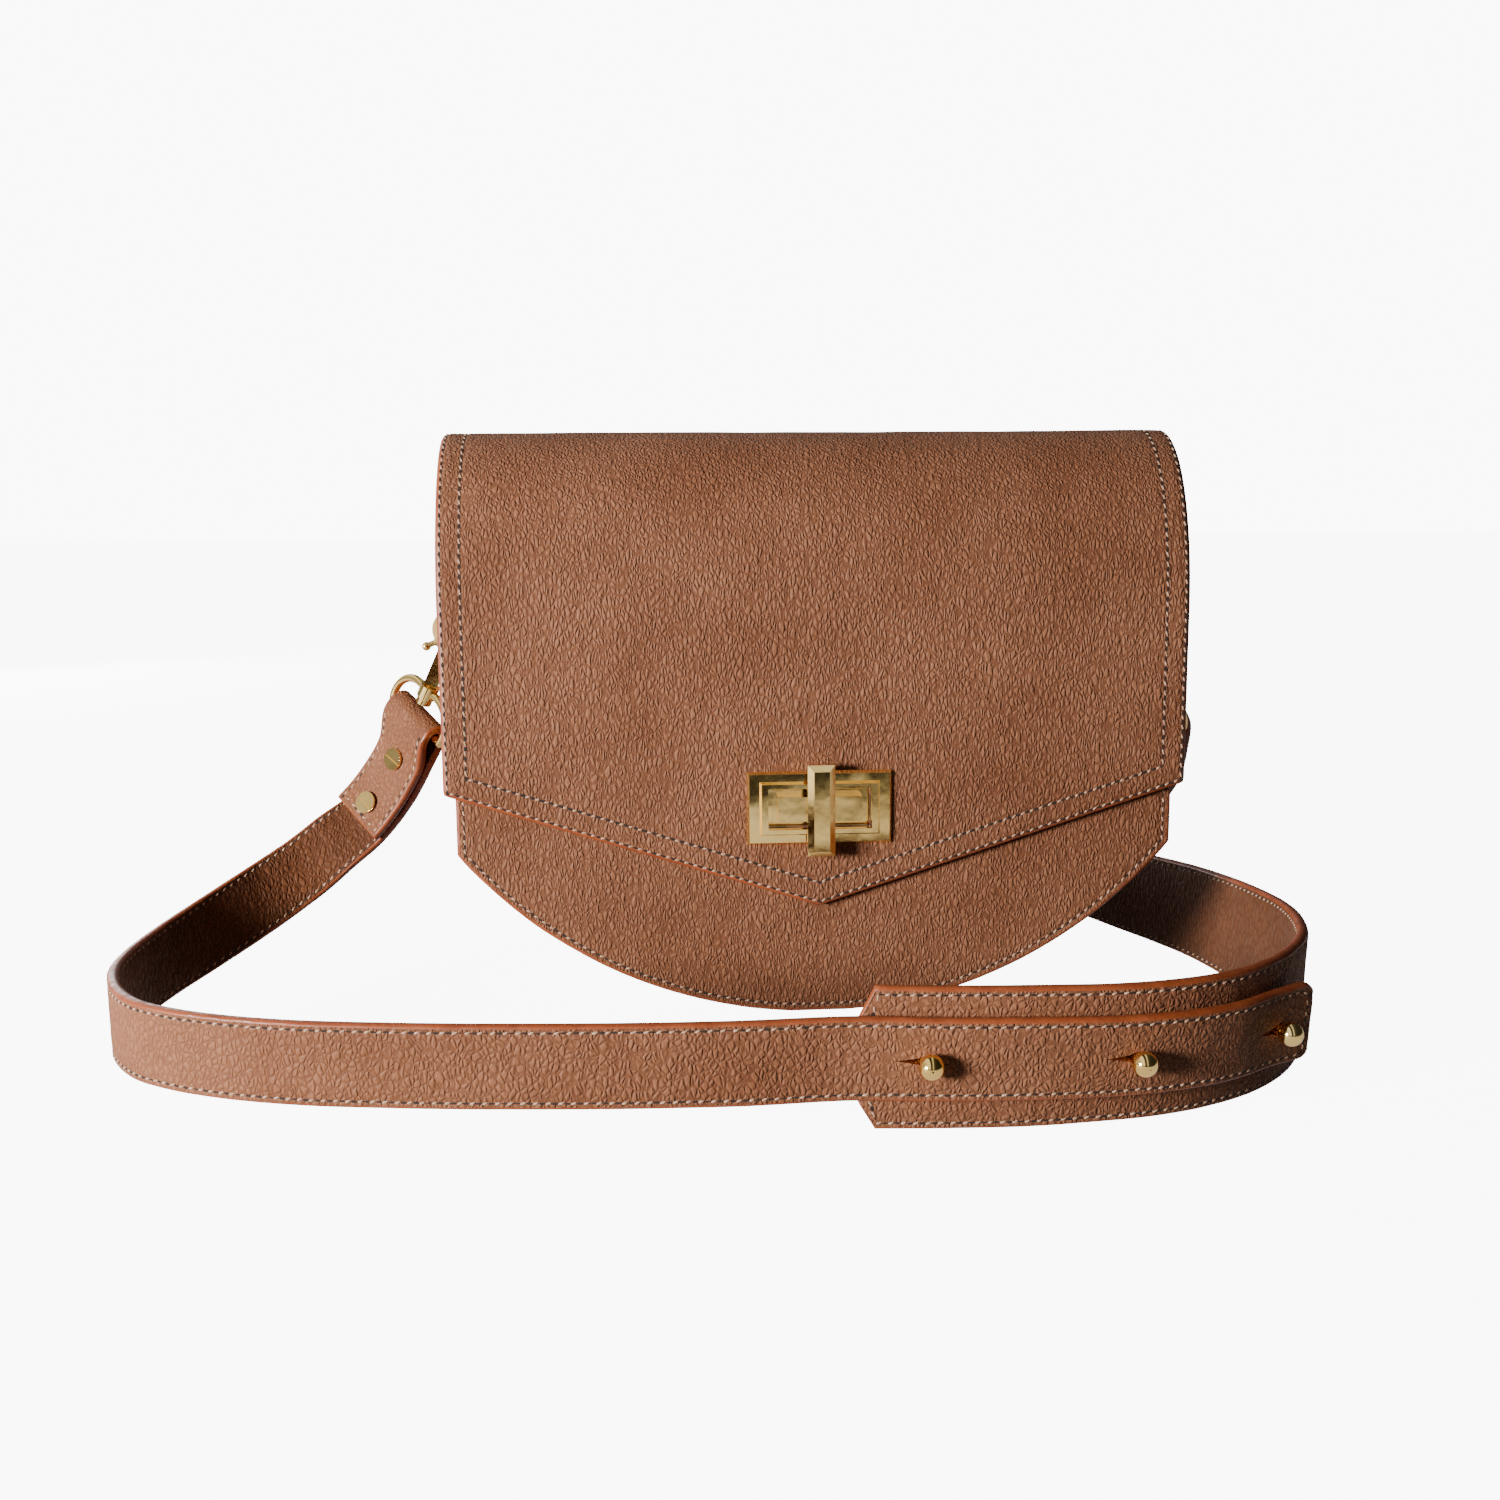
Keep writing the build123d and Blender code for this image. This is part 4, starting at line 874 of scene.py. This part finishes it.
def side_tab(label, side):
    """Leather strip folded round the bar of the D-ring and riveted to the gusset."""
    loop = TAB_T / 2 + 1.45
    near = TAB_X - loop
    far = near + TAB_T + 0.05
    path = [(near, z) for z in np.linspace(TAB_TOP - 0.8, TAB_Z + 1, 8)]
    for degrees in range(180, 361, 15):
        angle = math.radians(degrees)
        path.append((TAB_X + loop * math.cos(angle), TAB_Z + loop * math.sin(angle)))
    path += [(TAB_X + loop - 0.25, TAB_Z + 1.4), (far + 1.2, TAB_Z + 3.6), (far + 0.2, TAB_Z + 5.4)]
    path += [(far, z) for z in np.linspace(TAB_Z + 7, TAB_TOP - 0.8, 6)]
    ys = edge_lines(-TAB_W / 2 + 0.8, TAB_W / 2 - 0.8, (0, 0.8, 1.8), 2.2)
    core = np.array([[(side * x, y, z) for y in ys] for x, z in path])
    n = core.shape[0] - 3
    direction = np.array((side, 0, 0))
    if np.dot(grid_normals(core)[n, 3], direction) < 0:
        core = core[:, ::-1]
    half = TAB_T / 2 + 0.05 * wobble(core, 6, 4)
    piece = thick_sheet(f"{label}_tab_leather", core, half, [LEATHER, STRAP_INSIDE_SHADED, EDGE],
                        half_in=TAB_T / 2)
    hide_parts(f"{label}_side_tab")
    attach(piece, "bag")


def make_body():
    panel_piece("front_panel", -1, FRONT_TOP)
    panel_piece("back_panel", 1, BACK_TOP)
    make_gusset()
    lining_piece("front_lining", -1, FRONT_TOP - 1)
    lining_piece("back_lining", 1, BACK_TOP - 1)
    pocket_piece()
    side_tab("left", -1)
    side_tab("right", 1)


# ---- clasps and strap stations ----
class Clasp:
    """Where a snap hook hangs and where the bar of its eye carries the strap."""

    def __init__(self, side, lean, eye, bar_dir):
        lean = unit(lean)
        wire = np.array((side * TAB_X, 0, TAB_Z)) + lean * 19.3
        eye = np.array(eye, float)
        self.up = unit(wire - eye)
        wire_dir = unit(np.array((0, 1, 0)) - self.up * self.up[1])
        outward = np.cross(wire_dir, self.up)
        outward *= 1 if outward[0] * side > 0 else -1
        top = wire + outward * 0.8
        self.turn = -side
        self.bar_at = top - self.up * np.linalg.norm(wire - eye)
        bar_dir = np.array(bar_dir, float)
        self.bar_dir = unit(bar_dir - self.up * np.dot(bar_dir, self.up))


LEFT = Clasp(-1, (-3.6, 0, -19), (-134.3, 12, 93.9), (-0.66, 0.60, 0.549))
RIGHT = Clasp(1, (3.6, 0, -19), (127, 17, 93), (-0.378, 0.863, 0.424))
FOLD_R = EYE_R + FOLD_CLEAR + STRAP_T / 2
LAYER_OFF = STRAP_T / 2 + END_GAP


def folded_end(clasp, lower):
    """Stations up the folded tab, over the bar of the eye and down the run."""
    inner = np.cross(clasp.up, clasp.bar_dir) * clasp.turn
    tab, run = [], []
    above = clasp.bar_at
    for point, up in lower:
        point, up = np.array(point, float), np.array(up, float)
        travel = unit(above - point)
        up = unit(up - travel * np.dot(up, travel))
        side = np.cross(travel, up) * clasp.turn
        tab.insert(0, (point + side * LAYER_OFF, up, NARROW_W))
        run.append((point - side * LAYER_OFF, up, NARROW_W))
        above = point
    bend = []
    for degrees in (0, 45, 90, 135, 180):
        angle = math.radians(degrees)
        point = clasp.bar_at + (inner * math.cos(angle) + clasp.up * math.sin(angle)) * FOLD_R
        bend.append((point, clasp.bar_dir, NARROW_W))
    return tab + bend + run


class Strap:
    """Smooth middle line of a strap through its stations: point, width direction, width."""

    def __init__(self, stations):
        self.points = np.array([s[0] for s in stations], float)
        self.ups = np.array([s[1] for s in stations], float)
        self.widths = np.array([[s[2]] for s in stations], float)
        steps = np.linalg.norm(np.diff(self.points, axis=0), axis=1)
        self.knots = np.r_[0, np.cumsum(steps)]
        self.length = self.knots[-1]

    def smooth(self, values, at):
        knots = self.knots
        last = len(values) - 1
        i = int(np.clip(np.searchsorted(knots, at) - 1, 0, last - 1))
        span = knots[i + 1] - knots[i]
        step = (values[i + 1] - values[i]) / span
        first, second = step, step
        if i > 0:
            gap = knots[i] - knots[i - 1]
            first = ((values[i] - values[i - 1]) / gap * span + step * gap) / (span + gap)
        if i + 2 <= last:
            gap = knots[i + 2] - knots[i + 1]
            second = (step * gap + (values[i + 2] - values[i + 1]) / gap * span) / (span + gap)
        u = (at - knots[i]) / span
        start = values[i] * ((1 + 2 * u) * (1 - u) ** 2) + first * (span * u * (1 - u) ** 2)
        end = values[i + 1] * (u * u * (3 - 2 * u)) - second * (span * u * u * (1 - u))
        return start + end

    def frame(self, at):
        high, low = min(at + 0.1, self.length), max(at - 0.1, 0)
        travel = unit(self.smooth(self.points, high) - self.smooth(self.points, low))
        up = self.smooth(self.ups, at)
        up = unit(up - travel * np.dot(up, travel))
        return self.smooth(self.points, at), up, np.cross(travel, up), travel

    def width(self, at):
        return float(self.smooth(self.widths, at)[0])

    def place(self, at, across, out):
        """Point and outer normal at a distance, across from the middle and out from it."""
        point, up, normal, _ = self.frame(at)
        return point + up * across + normal * out, normal


STANDING = (0, 0, 1)
WIDE_FRONT = [
    ((0, -129.8, 20.1), (0, -0.04, 1.0), 40), ((22, -132.0, 20.1), (0, -0.07, 1.0), 40),
    ((49.5, -133.0, 20.1), (0, -0.1, 0.99), 40), ((65, -132.1, 20.0), (0.02, -0.14, 0.99), 40),
    ((80, -130.1, 20.0), (0.04, -0.15, 0.99), 40), ((101.6, -122.6, 20.0), (0.07, -0.14, 0.99), 40),
    ((116.4, -112.8, 20.1), (0.08, -0.09, 0.99), 40), ((127, -102, 20.1), (0.06, -0.06, 1.0), 40),
    ((135.5, -90, 20.1), (0.04, -0.03, 1.0), 39.8),
]
WIDE_SIDE = [
    ((143, -73, 19.9), STANDING, 39.4), ((148, -50, 19.4), STANDING, 38.4),
    ((149, -22, 18.7), STANDING, 37.0), ((147, 4, 18.0), STANDING, 35.5),
    ((143.5, 23, 17.5), STANDING, 34.5), ((137.5, 42, 17.0), STANDING, 33.5),
    ((129.5, 63, 16.4), STANDING, 32.3), ((122, 84, 15.7), STANDING, 31.0),
    ((115, 101, 15.3), STANDING, 30.0), ((102, 113, 16.0), STANDING, 29.0),
    ((88, 110, 20.5), STANDING, 28.0),
]
WIDE_RISE = [
    ((81, 97, 27), (-0.15, 0.2, 0.95), 27.0), ((83, 81, 35.5), (-0.3, 0.25, 0.9), 26.0),
    ((91, 67, 44), (-0.38, 0.32, 0.85), 25.0), ((104, 54, 52.5), (-0.45, 0.42, 0.78), 24.0),
]
RIGHT_END = [
    ((130, 21.5, 81), (-0.40, 0.82, 0.38)), ((129, 27, 71), (-0.42, 0.76, 0.46)),
    ((124.8, 34, 63), (-0.46, 0.66, 0.58)), ((120, 39.5, 59), (-0.47, 0.58, 0.66)),
]
LEFT_END = [
    ((-139.6, 15.1, 82.3), (-0.62, 0.56, 0.55)), ((-145.2, 16.8, 72.7), (-0.61, 0.55, 0.57)),
    ((-151.8, 17.5, 64.0), (-0.59, 0.52, 0.61)), ((-156.6, 17.6, 58.8), (-0.58, 0.50, 0.64)),
]
NARROW_FALL = [
    ((-165.0, 16.2, 51.2), (-0.56, 0.42, 0.71)), ((-174.0, 12.5, 44.0), (-0.53, 0.35, 0.77)),
    ((-184.0, 5.5, 37.4), (-0.48, 0.26, 0.84)), ((-193.5, -5.0, 31.8), (-0.38, 0.16, 0.91)),
    ((-202.5, -18.0, 27.0), (-0.26, 0.08, 0.96)), ((-209.5, -33.0, 23.6), (-0.16, 0.03, 0.99)),
    ((-213.0, -50.0, 21.8), (-0.10, 0.0, 1.0)), ((-212.5, -67.0, 21.0), (-0.06, 0.0, 1.0)),
]
NARROW_TURN = [
    (-208, -83), (-202, -94), (-194.5, -103), (-183, -111), (-170.5, -117), (-154, -122.5),
    (-120, -128.7), (-86, -132.3), (-62, -133.9), (-31, -134.6),
]
NARROW_Z = 21.0
NARROW_TIP = (129.3, -112.2, 21.3)

WIDE = Strap(WIDE_FRONT + WIDE_SIDE + WIDE_RISE + folded_end(RIGHT, RIGHT_END)[::-1])


def over_wide(at):
    """Station of the narrow strap where it lies on the wide one."""
    point, up, out, _ = WIDE.frame(at)
    return point + out * (STRAP_T + STRAP_GAP) + up * NARROW_RAISE, up, NARROW_W


NARROW = Strap(
    folded_end(LEFT, LEFT_END)
    + [(point, up, NARROW_W) for point, up in NARROW_FALL]
    + [((x, y, NARROW_Z), STANDING, NARROW_W) for x, y in NARROW_TURN]
    + [over_wide(knot) for knot in WIDE.knots[:6]]
    + [over_wide(STUDS_AT[2]), (NARROW_TIP, (0.05, -0.07, 1.0), NARROW_W)]
)


# ---- strap meshes ----
def wide_limits(at):
    """How far the wide strap reaches below and above its middle: its front end is pointed."""
    half = WIDE.width(at) / 2
    share = np.clip(at / 4.5, 0, 1)
    return -half + 7.5 * (1 - share), half - 9.0 * (1 - share)


def narrow_limits(at):
    """The narrow strap's free end has rounded corners."""
    half = NARROW.width(at) / 2
    radius = 4.0
    inside = max(0.0, radius - (NARROW.length - at))
    cut = radius - math.sqrt(radius ** 2 - min(inside, radius) ** 2)
    return -half + cut, half - cut


def strap_places(strap, fold_first, fold_last):
    """Distances of the sections: close together at the ends and round the fold."""
    ends = (0, 0.25, 0.6, 1.1, 1.8, 2.7, 3.6, 4.5)
    places = list(ends) + [strap.length - e for e in ends]
    places += list(np.arange(6, strap.length - 6, 1.6))
    places += list(np.arange(fold_first - 1, fold_last + 1, 0.55))
    return np.unique(np.round(places, 3))


def strap_rim(start, reach, half, turns):
    """Rounded edge of the cross-section, beyond start by reach."""
    rim = []
    for degrees in turns:
        angle = math.radians(degrees)
        level = half * 0.94 * math.sin(angle) / math.sin(math.radians(75))
        rim.append((start + reach * math.cos(angle), level, 2))
    return rim


def strap_ring(low, high, half, rows):
    """Closed cross-section: (across, out, kind), kind 0 outside, 1 inside, 2 edge."""
    inner = np.unique(np.r_[
        np.linspace(low + STRAP_BEVEL, high - STRAP_BEVEL, 13),
        low + rows - 0.55, low + rows, low + rows + 0.55,
        high - rows - 0.55, high - rows, high - rows + 0.55,
    ])
    distance = np.minimum(inner - low, high - inner)
    skin = half - groove(distance, (rows,), 0.22) - 0.12 * np.exp(-distance / 1.2)
    ring = [(a, b, 0) for a, b in zip(inner, skin)]
    ring += strap_rim(high - STRAP_BEVEL, STRAP_BEVEL, half, (60, 30, 0, -30, -60))
    ring += [(a, -b, 1) for a, b in zip(inner[::-1], skin[::-1])]
    ring += strap_rim(low + STRAP_BEVEL, -STRAP_BEVEL, half, (-60, -30, 0, 30, 60))
    return ring


def strap_piece(name, strap, limits, fold_first, fold_last, nodes):
    places = strap_places(strap, fold_first, fold_last)
    points, kinds_of_ring = [], None
    for at in places:
        low, high = limits(at)
        to_end = min(at, strap.length - at)
        plump = math.sqrt(max(0.0, 1 - (1 - min(1.0, (to_end + 0.12) / 1.2)) ** 2))
        ring = strap_ring(low, high, STRAP_T / 2 * plump, STRAP_ROW)
        kinds_of_ring = [k for _, _, k in ring]
        middle, up, out, _ = strap.frame(at)
        for across, offset, _ in ring:
            points.append(middle + up * across + out * offset)
    points = np.array(points)
    size = len(kinds_of_ring)
    waves = 0.16 * wobble(points, 9, 6.6) + 0.10 * wobble(points, 3.4, 2.1)
    grid = points.reshape(len(places), size, 3)
    centre = grid.mean(axis=1, keepdims=True)
    push = unit(grid - centre).reshape(-1, 3)
    soft = np.array([0.35 if k == 2 else 1.0 for k in kinds_of_ring] * len(places))
    outs = np.repeat(np.array([strap.frame(at)[2] for at in places]), size, axis=0)
    side = np.sign(np.sum(push * outs, axis=1))
    points = points + outs * (side * waves * soft)[:, None]
    faces, kinds = [], []
    for r in range(len(places) - 1):
        for q in range(size):
            p = (q + 1) % size
            a, b = r * size + q, r * size + p
            faces.append((a, b, b + size, a + size))
            first, second = kinds_of_ring[q], kinds_of_ring[p]
            edge_end = min(places[r + 1], strap.length - places[r]) < 0.7
            kinds.append(2 if edge_end or 2 in (first, second) else first)
    last = (len(places) - 1) * size
    faces.append(tuple(range(size)))
    faces.append(tuple(last + q for q in range(size - 1, -1, -1)))
    kinds += [2, 2]
    piece = make_piece(name, points, faces, [STRAP_LEATHER, STRAP_INSIDE_SHADED, EDGE], kinds, 60)
    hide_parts(*nodes)
    return piece


def strap_rows(strap, path, out):
    """Stitch row through (distance, across) points on one face of a strap."""
    fine = []
    for (d0, a0), (d1, a1) in zip(path, path[1:]):
        steps = max(2, int(abs(d1 - d0) / 1.5) + 1)
        fine += [(d0 + (d1 - d0) * k / steps, a0 + (a1 - a0) * k / steps) for k in range(steps)]
    fine.append(path[-1])
    found = [strap.place(d, a, out) for d, a in fine]
    sign = 1 if out > 0 else -1
    return np.array([p for p, _ in found]), np.array([n * sign for _, n in found])


def edge_row(strap, start, end, side):
    """(distance, across) points of a row that follows one edge of a strap."""
    places = np.arange(start, end, 4.0).tolist() + [end]
    return [(d, side * (strap.width(d) / 2 - STRAP_ROW)) for d in places]


def slit_cutter(number, at):
    """Teardrop slit that runs from a stud towards the strap's left."""
    point, up, out, travel = NARROW.frame(at)
    upper = [(1.9, 0.9), (1.2, 1.5), (0, 1.9), (-1.3, 1.5), (-2.6, 0.9), (-5.5, 0.45), (-SLIT_L, 0.05)]
    outline = upper + [(a, -b) for a, b in reversed(upper)]

    def to_world(a, b, c):
        return point + travel * a + up * b + out * c

    return prism(f"slit_cutter_{number}", outline, to_world, -3.2, 3.2, EDGE)


def narrow_distance(point):
    """Distance along the narrow strap nearest to a point."""
    places = np.arange(NARROW.length - 170, NARROW.length, 0.5)
    away = [np.linalg.norm(NARROW.frame(at)[0] - point) for at in places]
    return float(places[int(np.argmin(away))])


def ride_strap(piece):
    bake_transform(piece)


def make_straps():
    tab = len(LEFT_END)
    narrow = strap_piece("narrow_strap_leather", NARROW, narrow_limits, NARROW.knots[tab],
                         NARROW.knots[tab + 4], ("narrow_strap_outer", "narrow_strap_lining"))
    for number, at in enumerate(STUDS_AT, 1):
        centre = over_wide(at)[0]
        boolean_cut(narrow, slit_cutter(number, narrow_distance(centre)))
    last = len(WIDE.knots) - 1
    wide = strap_piece("wide_strap_leather", WIDE, wide_limits, WIDE.knots[last - tab - 4],
                       WIDE.knots[last - tab], ("wide_strap_outer", "wide_strap_lining"))
    face = STRAP_T / 2 - 0.20
    end = NARROW.length
    inset = NARROW_W / 2 - STRAP_ROW
    tab_end = 2.6
    bend_low, bend_high = NARROW.knots[tab] - 2, NARROW.knots[tab + 4] + 2
    tip = [(end - 5.2, inset), (end - 3.6, inset - 0.8), (end - 2.9, inset - 2.2),
           (end - 2.9, 2.2 - inset), (end - 3.6, 0.8 - inset), (end - 5.2, -inset)]
    outside = edge_row(NARROW, bend_high, end - 5.2, 1) + tip
    outside += edge_row(NARROW, bend_high, end - 5.2, -1)[::-1]
    tab_rows = edge_row(NARROW, tab_end, bend_low, 1)[::-1] + edge_row(NARROW, tab_end, bend_low, -1)
    inside = [edge_row(NARROW, NARROW.knots[tab + 8] - 4, end - 5.2, side) for side in (1, -1)]
    rows = [strap_rows(NARROW, outside, face), strap_rows(NARROW, tab_rows, face)]
    rows += [strap_rows(NARROW, row, -face) for row in inside]
    narrow_thread = stitches("narrow_strap_stitches", narrow, rows, pitch=STRAP_PITCH)
    far = WIDE.knots[last - tab - 4] - 2
    front = [(5.4, WIDE_W / 2 - STRAP_ROW), (2.9, 9.4), (2.9, -11.2), (5.0, STRAP_ROW - WIDE_W / 2)]
    outside = edge_row(WIDE, 5.4, far, 1)[::-1] + front + edge_row(WIDE, 5.0, far, -1)
    tab_start, tab_stop = WIDE.knots[last - tab] + 2, WIDE.length - tab_end
    tab_rows = edge_row(WIDE, tab_start, tab_stop, 1) + edge_row(WIDE, tab_start, tab_stop, -1)[::-1]
    inside = [edge_row(WIDE, 5.4, WIDE.knots[last - tab - 8] + 4, side) for side in (1, -1)]
    rows = [strap_rows(WIDE, outside, face), strap_rows(WIDE, tab_rows, face)]
    rows += [strap_rows(WIDE, row, -face) for row in inside]
    wide_thread = stitches("wide_strap_stitches", wide, rows, pitch=STRAP_PITCH)
    for piece, body in ((narrow, "left_eye"), (narrow_thread, "left_eye"), (wide, "right_eye"),
                        (wide_thread, "right_eye")):
        ride_strap(piece)


# ---- carried-over CAD nodes ----
def finish_node(name, material, bevel_mm):
    """Gives a CAD node its material and small rounded edges that catch the light."""
    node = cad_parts[name]
    node.data.materials.clear()
    node.data.materials.append(material)
    weld = node.modifiers.new("weld", "WELD")
    weld.merge_threshold = 0.000002
    if bevel_mm:
        bevel = node.modifiers.new("bevel", "BEVEL")
        bevel.width = bevel_mm * MM
        bevel.segments = 3
        bevel.limit_method = "ANGLE"
        bevel.angle_limit = math.radians(40)
        bevel.use_clamp_overlap = True
    weighted = node.modifiers.new("weighted", "WEIGHTED_NORMAL")
    weighted.keep_sharp = True


def make_hardware():
    gold = {
        "lock_face_plate": 0.22, "lock_plate_screws": 0.1, "lock_base": 0.35, "lock_bar": 0.45,
        "strap_studs": 0.15, "stud_screws": 0.2, "tab_rivets": 0.3,
    }
    for label in ("left", "right"):
        gold.update({
            f"{label}_d_ring": 0, f"{label}_hook_body": 0.3, f"{label}_hook_gate": 0.2,
            f"{label}_gate_pin": 0.1, f"{label}_strap_eye": 0.2, f"{label}_end_screws": 0.2,
            f"{label}_end_posts": 0.2,
        })
    for name, bevel in gold.items():
        finish_node(name, GOLD, bevel)
    for name in ("lock_back_plate", "lock_washer", "lock_clip"):
        finish_node(name, STEEL, 0.1)
    for name in ("front_board", "back_board"):
        finish_node(name, BOARD, 0)


# ---- stage ----
def stage_material():
    """Near-white for the camera, dark for the light it throws back, a lit table for polished metal."""
    material, tree, shader, coords = node_tree("pale_floor")
    tone = add_noise(tree, coords, 3, 2)
    path = tree.nodes.new("ShaderNodeLightPath")
    seen = path.outputs["Is Camera Ray"]
    pale = add_ramp(tree, tone, ((0.3, (0.88, 0.88, 0.88)), (0.7, (0.92, 0.92, 0.92))))
    split = tree.nodes.new("ShaderNodeSeparateXYZ")
    tree.links.new(coords, split.inputs["Vector"])
    ahead = add_math(tree, "ADD", split.outputs["Y"], 1.0)
    table = add_ramp(tree, ahead, ((0.58, (0.02,) * 3), (0.64, (0.95,) * 3)))
    mirrored = add_mix(tree, path.outputs["Is Glossy Ray"], pale, table)
    thrown = add_mix(tree, path.outputs["Is Diffuse Ray"], mirrored, (0.07, 0.065, 0.06))
    tree.links.new(thrown, shader.inputs["Base Color"])
    shader.inputs["Roughness"].default_value = 0.8
    shader.inputs["Specular IOR Level"].default_value = 0.1
    glossy = path.outputs["Is Glossy Ray"]
    tree.links.new(add_mix(tree, glossy, (1, 1, 1), table), shader.inputs["Emission Color"])
    glow = add_math(tree, "MULTIPLY_ADD", seen, FLOOR_GLOW)
    tree.links.new(add_math(tree, "MULTIPLY", glossy, TABLE_GLOW), glow.node.inputs[2])
    tree.links.new(glow, shader.inputs["Emission Strength"])
    return material


def make_stage():
    """Pale floor, large enough to reach the horizon from every side."""
    half = 40.0
    points = [(x, y, -0.0004) for x, y in ((-half, -half), (half, -half), (half, half), (-half, half))]
    mesh = bpy.data.meshes.new("floor")
    mesh.from_pydata(points, [], [(0, 1, 2, 3)])
    mesh.materials.append(stage_material())
    floor = bpy.data.objects.new("floor", mesh)
    bpy.context.scene.collection.objects.link(floor)


def area_light(name, place, target, size, power, colour=(1, 1, 1)):
    data = bpy.data.lights.new(name, "AREA")
    data.shape = "RECTANGLE"
    data.size, data.size_y = size
    data.energy = power
    data.color = colour
    light = bpy.data.objects.new(name, data)
    light.location = Vector(place) + Vector(ORIGIN * MM)
    light.rotation_mode = "QUATERNION"
    light.rotation_quaternion = (Vector(target) - Vector(place)).to_track_quat("-Z", "Y")
    bpy.context.scene.collection.objects.link(light)


def make_world():
    """Dim sky for the leather, a room with windows for metal and a white backdrop for the camera."""
    world = bpy.data.worlds.new("studio")
    bpy.context.scene.world = world
    world.use_nodes = True
    tree = world.node_tree
    background = tree.nodes["Background"]
    coords = tree.nodes.new("ShaderNodeTexCoord").outputs["Generated"]
    split = tree.nodes.new("ShaderNodeSeparateXYZ")
    tree.links.new(coords, split.inputs["Vector"])
    height = add_math(tree, "MULTIPLY_ADD", split.outputs["Z"], 0.5)
    height.node.inputs[2].default_value = 0.5
    sky = add_ramp(tree, height, ((0.45, (0.02,) * 3), (0.62, (0.05,) * 3), (0.9, (0.06,) * 3)))
    # what polished metal sees: a dark room with tall bright windows
    band = add_math(tree, "MULTIPLY_ADD", split.outputs["X"], 0.5)
    band.node.inputs[2].default_value = 0.5
    windows = add_ramp(tree, band, ((0.0, (0.5,) * 3), (0.30, (1.5,) * 3), (0.38, (0.06,) * 3),
                                    (0.47, (0.02,) * 3), (0.55, (1.0,) * 3), (0.62, (0.08,) * 3),
                                    (0.8, (0.03,) * 3)))
    roof = add_ramp(tree, height, ((0.5, (0.0,) * 3), (0.56, (1.0,) * 3)))
    room = add_mix(tree, roof, (0.05, 0.05, 0.05), windows)
    path = tree.nodes.new("ShaderNodeLightPath")
    light = add_mix(tree, path.outputs["Is Glossy Ray"], sky, room)
    bright = (1 + FLOOR_GLOW,) * 3
    tree.links.new(add_mix(tree, path.outputs["Is Camera Ray"], light, bright), background.inputs["Color"])


def make_camera():
    """Looks down a little and slightly to the right, from half a metre in front of the bag."""
    data = bpy.data.cameras.new("camera")
    data.sensor_width = 36
    data.lens = 36
    data.clip_start = 0.02
    camera = bpy.data.objects.new("camera", data)
    down, right, roll = math.radians(8.32), math.radians(3.35), math.radians(-0.5)
    turn = Matrix.Rotation(-right, 4, "Z") @ Matrix.Rotation(math.pi / 2 - down, 4, "X")
    place = Matrix.Translation(packed((-50.0, -508.0, 158.0)))
    camera.matrix_world = place @ turn @ Matrix.Rotation(roll, 4, "Z")
    bpy.context.scene.collection.objects.link(camera)
    bpy.context.scene.camera = camera


make_flap()
make_body()
make_straps()
make_hardware()
make_stage()
area_light("key", (-0.86, -0.66, 0.22), (0, -0.05, 0.08), (0.34, 0.22), 24, (1.0, 0.98, 0.96))
area_light("back_left", (-0.9, 1.3, 0.34), (0, 0.05, 0.09), (0.6, 0.4), 8)
make_world()
make_camera()
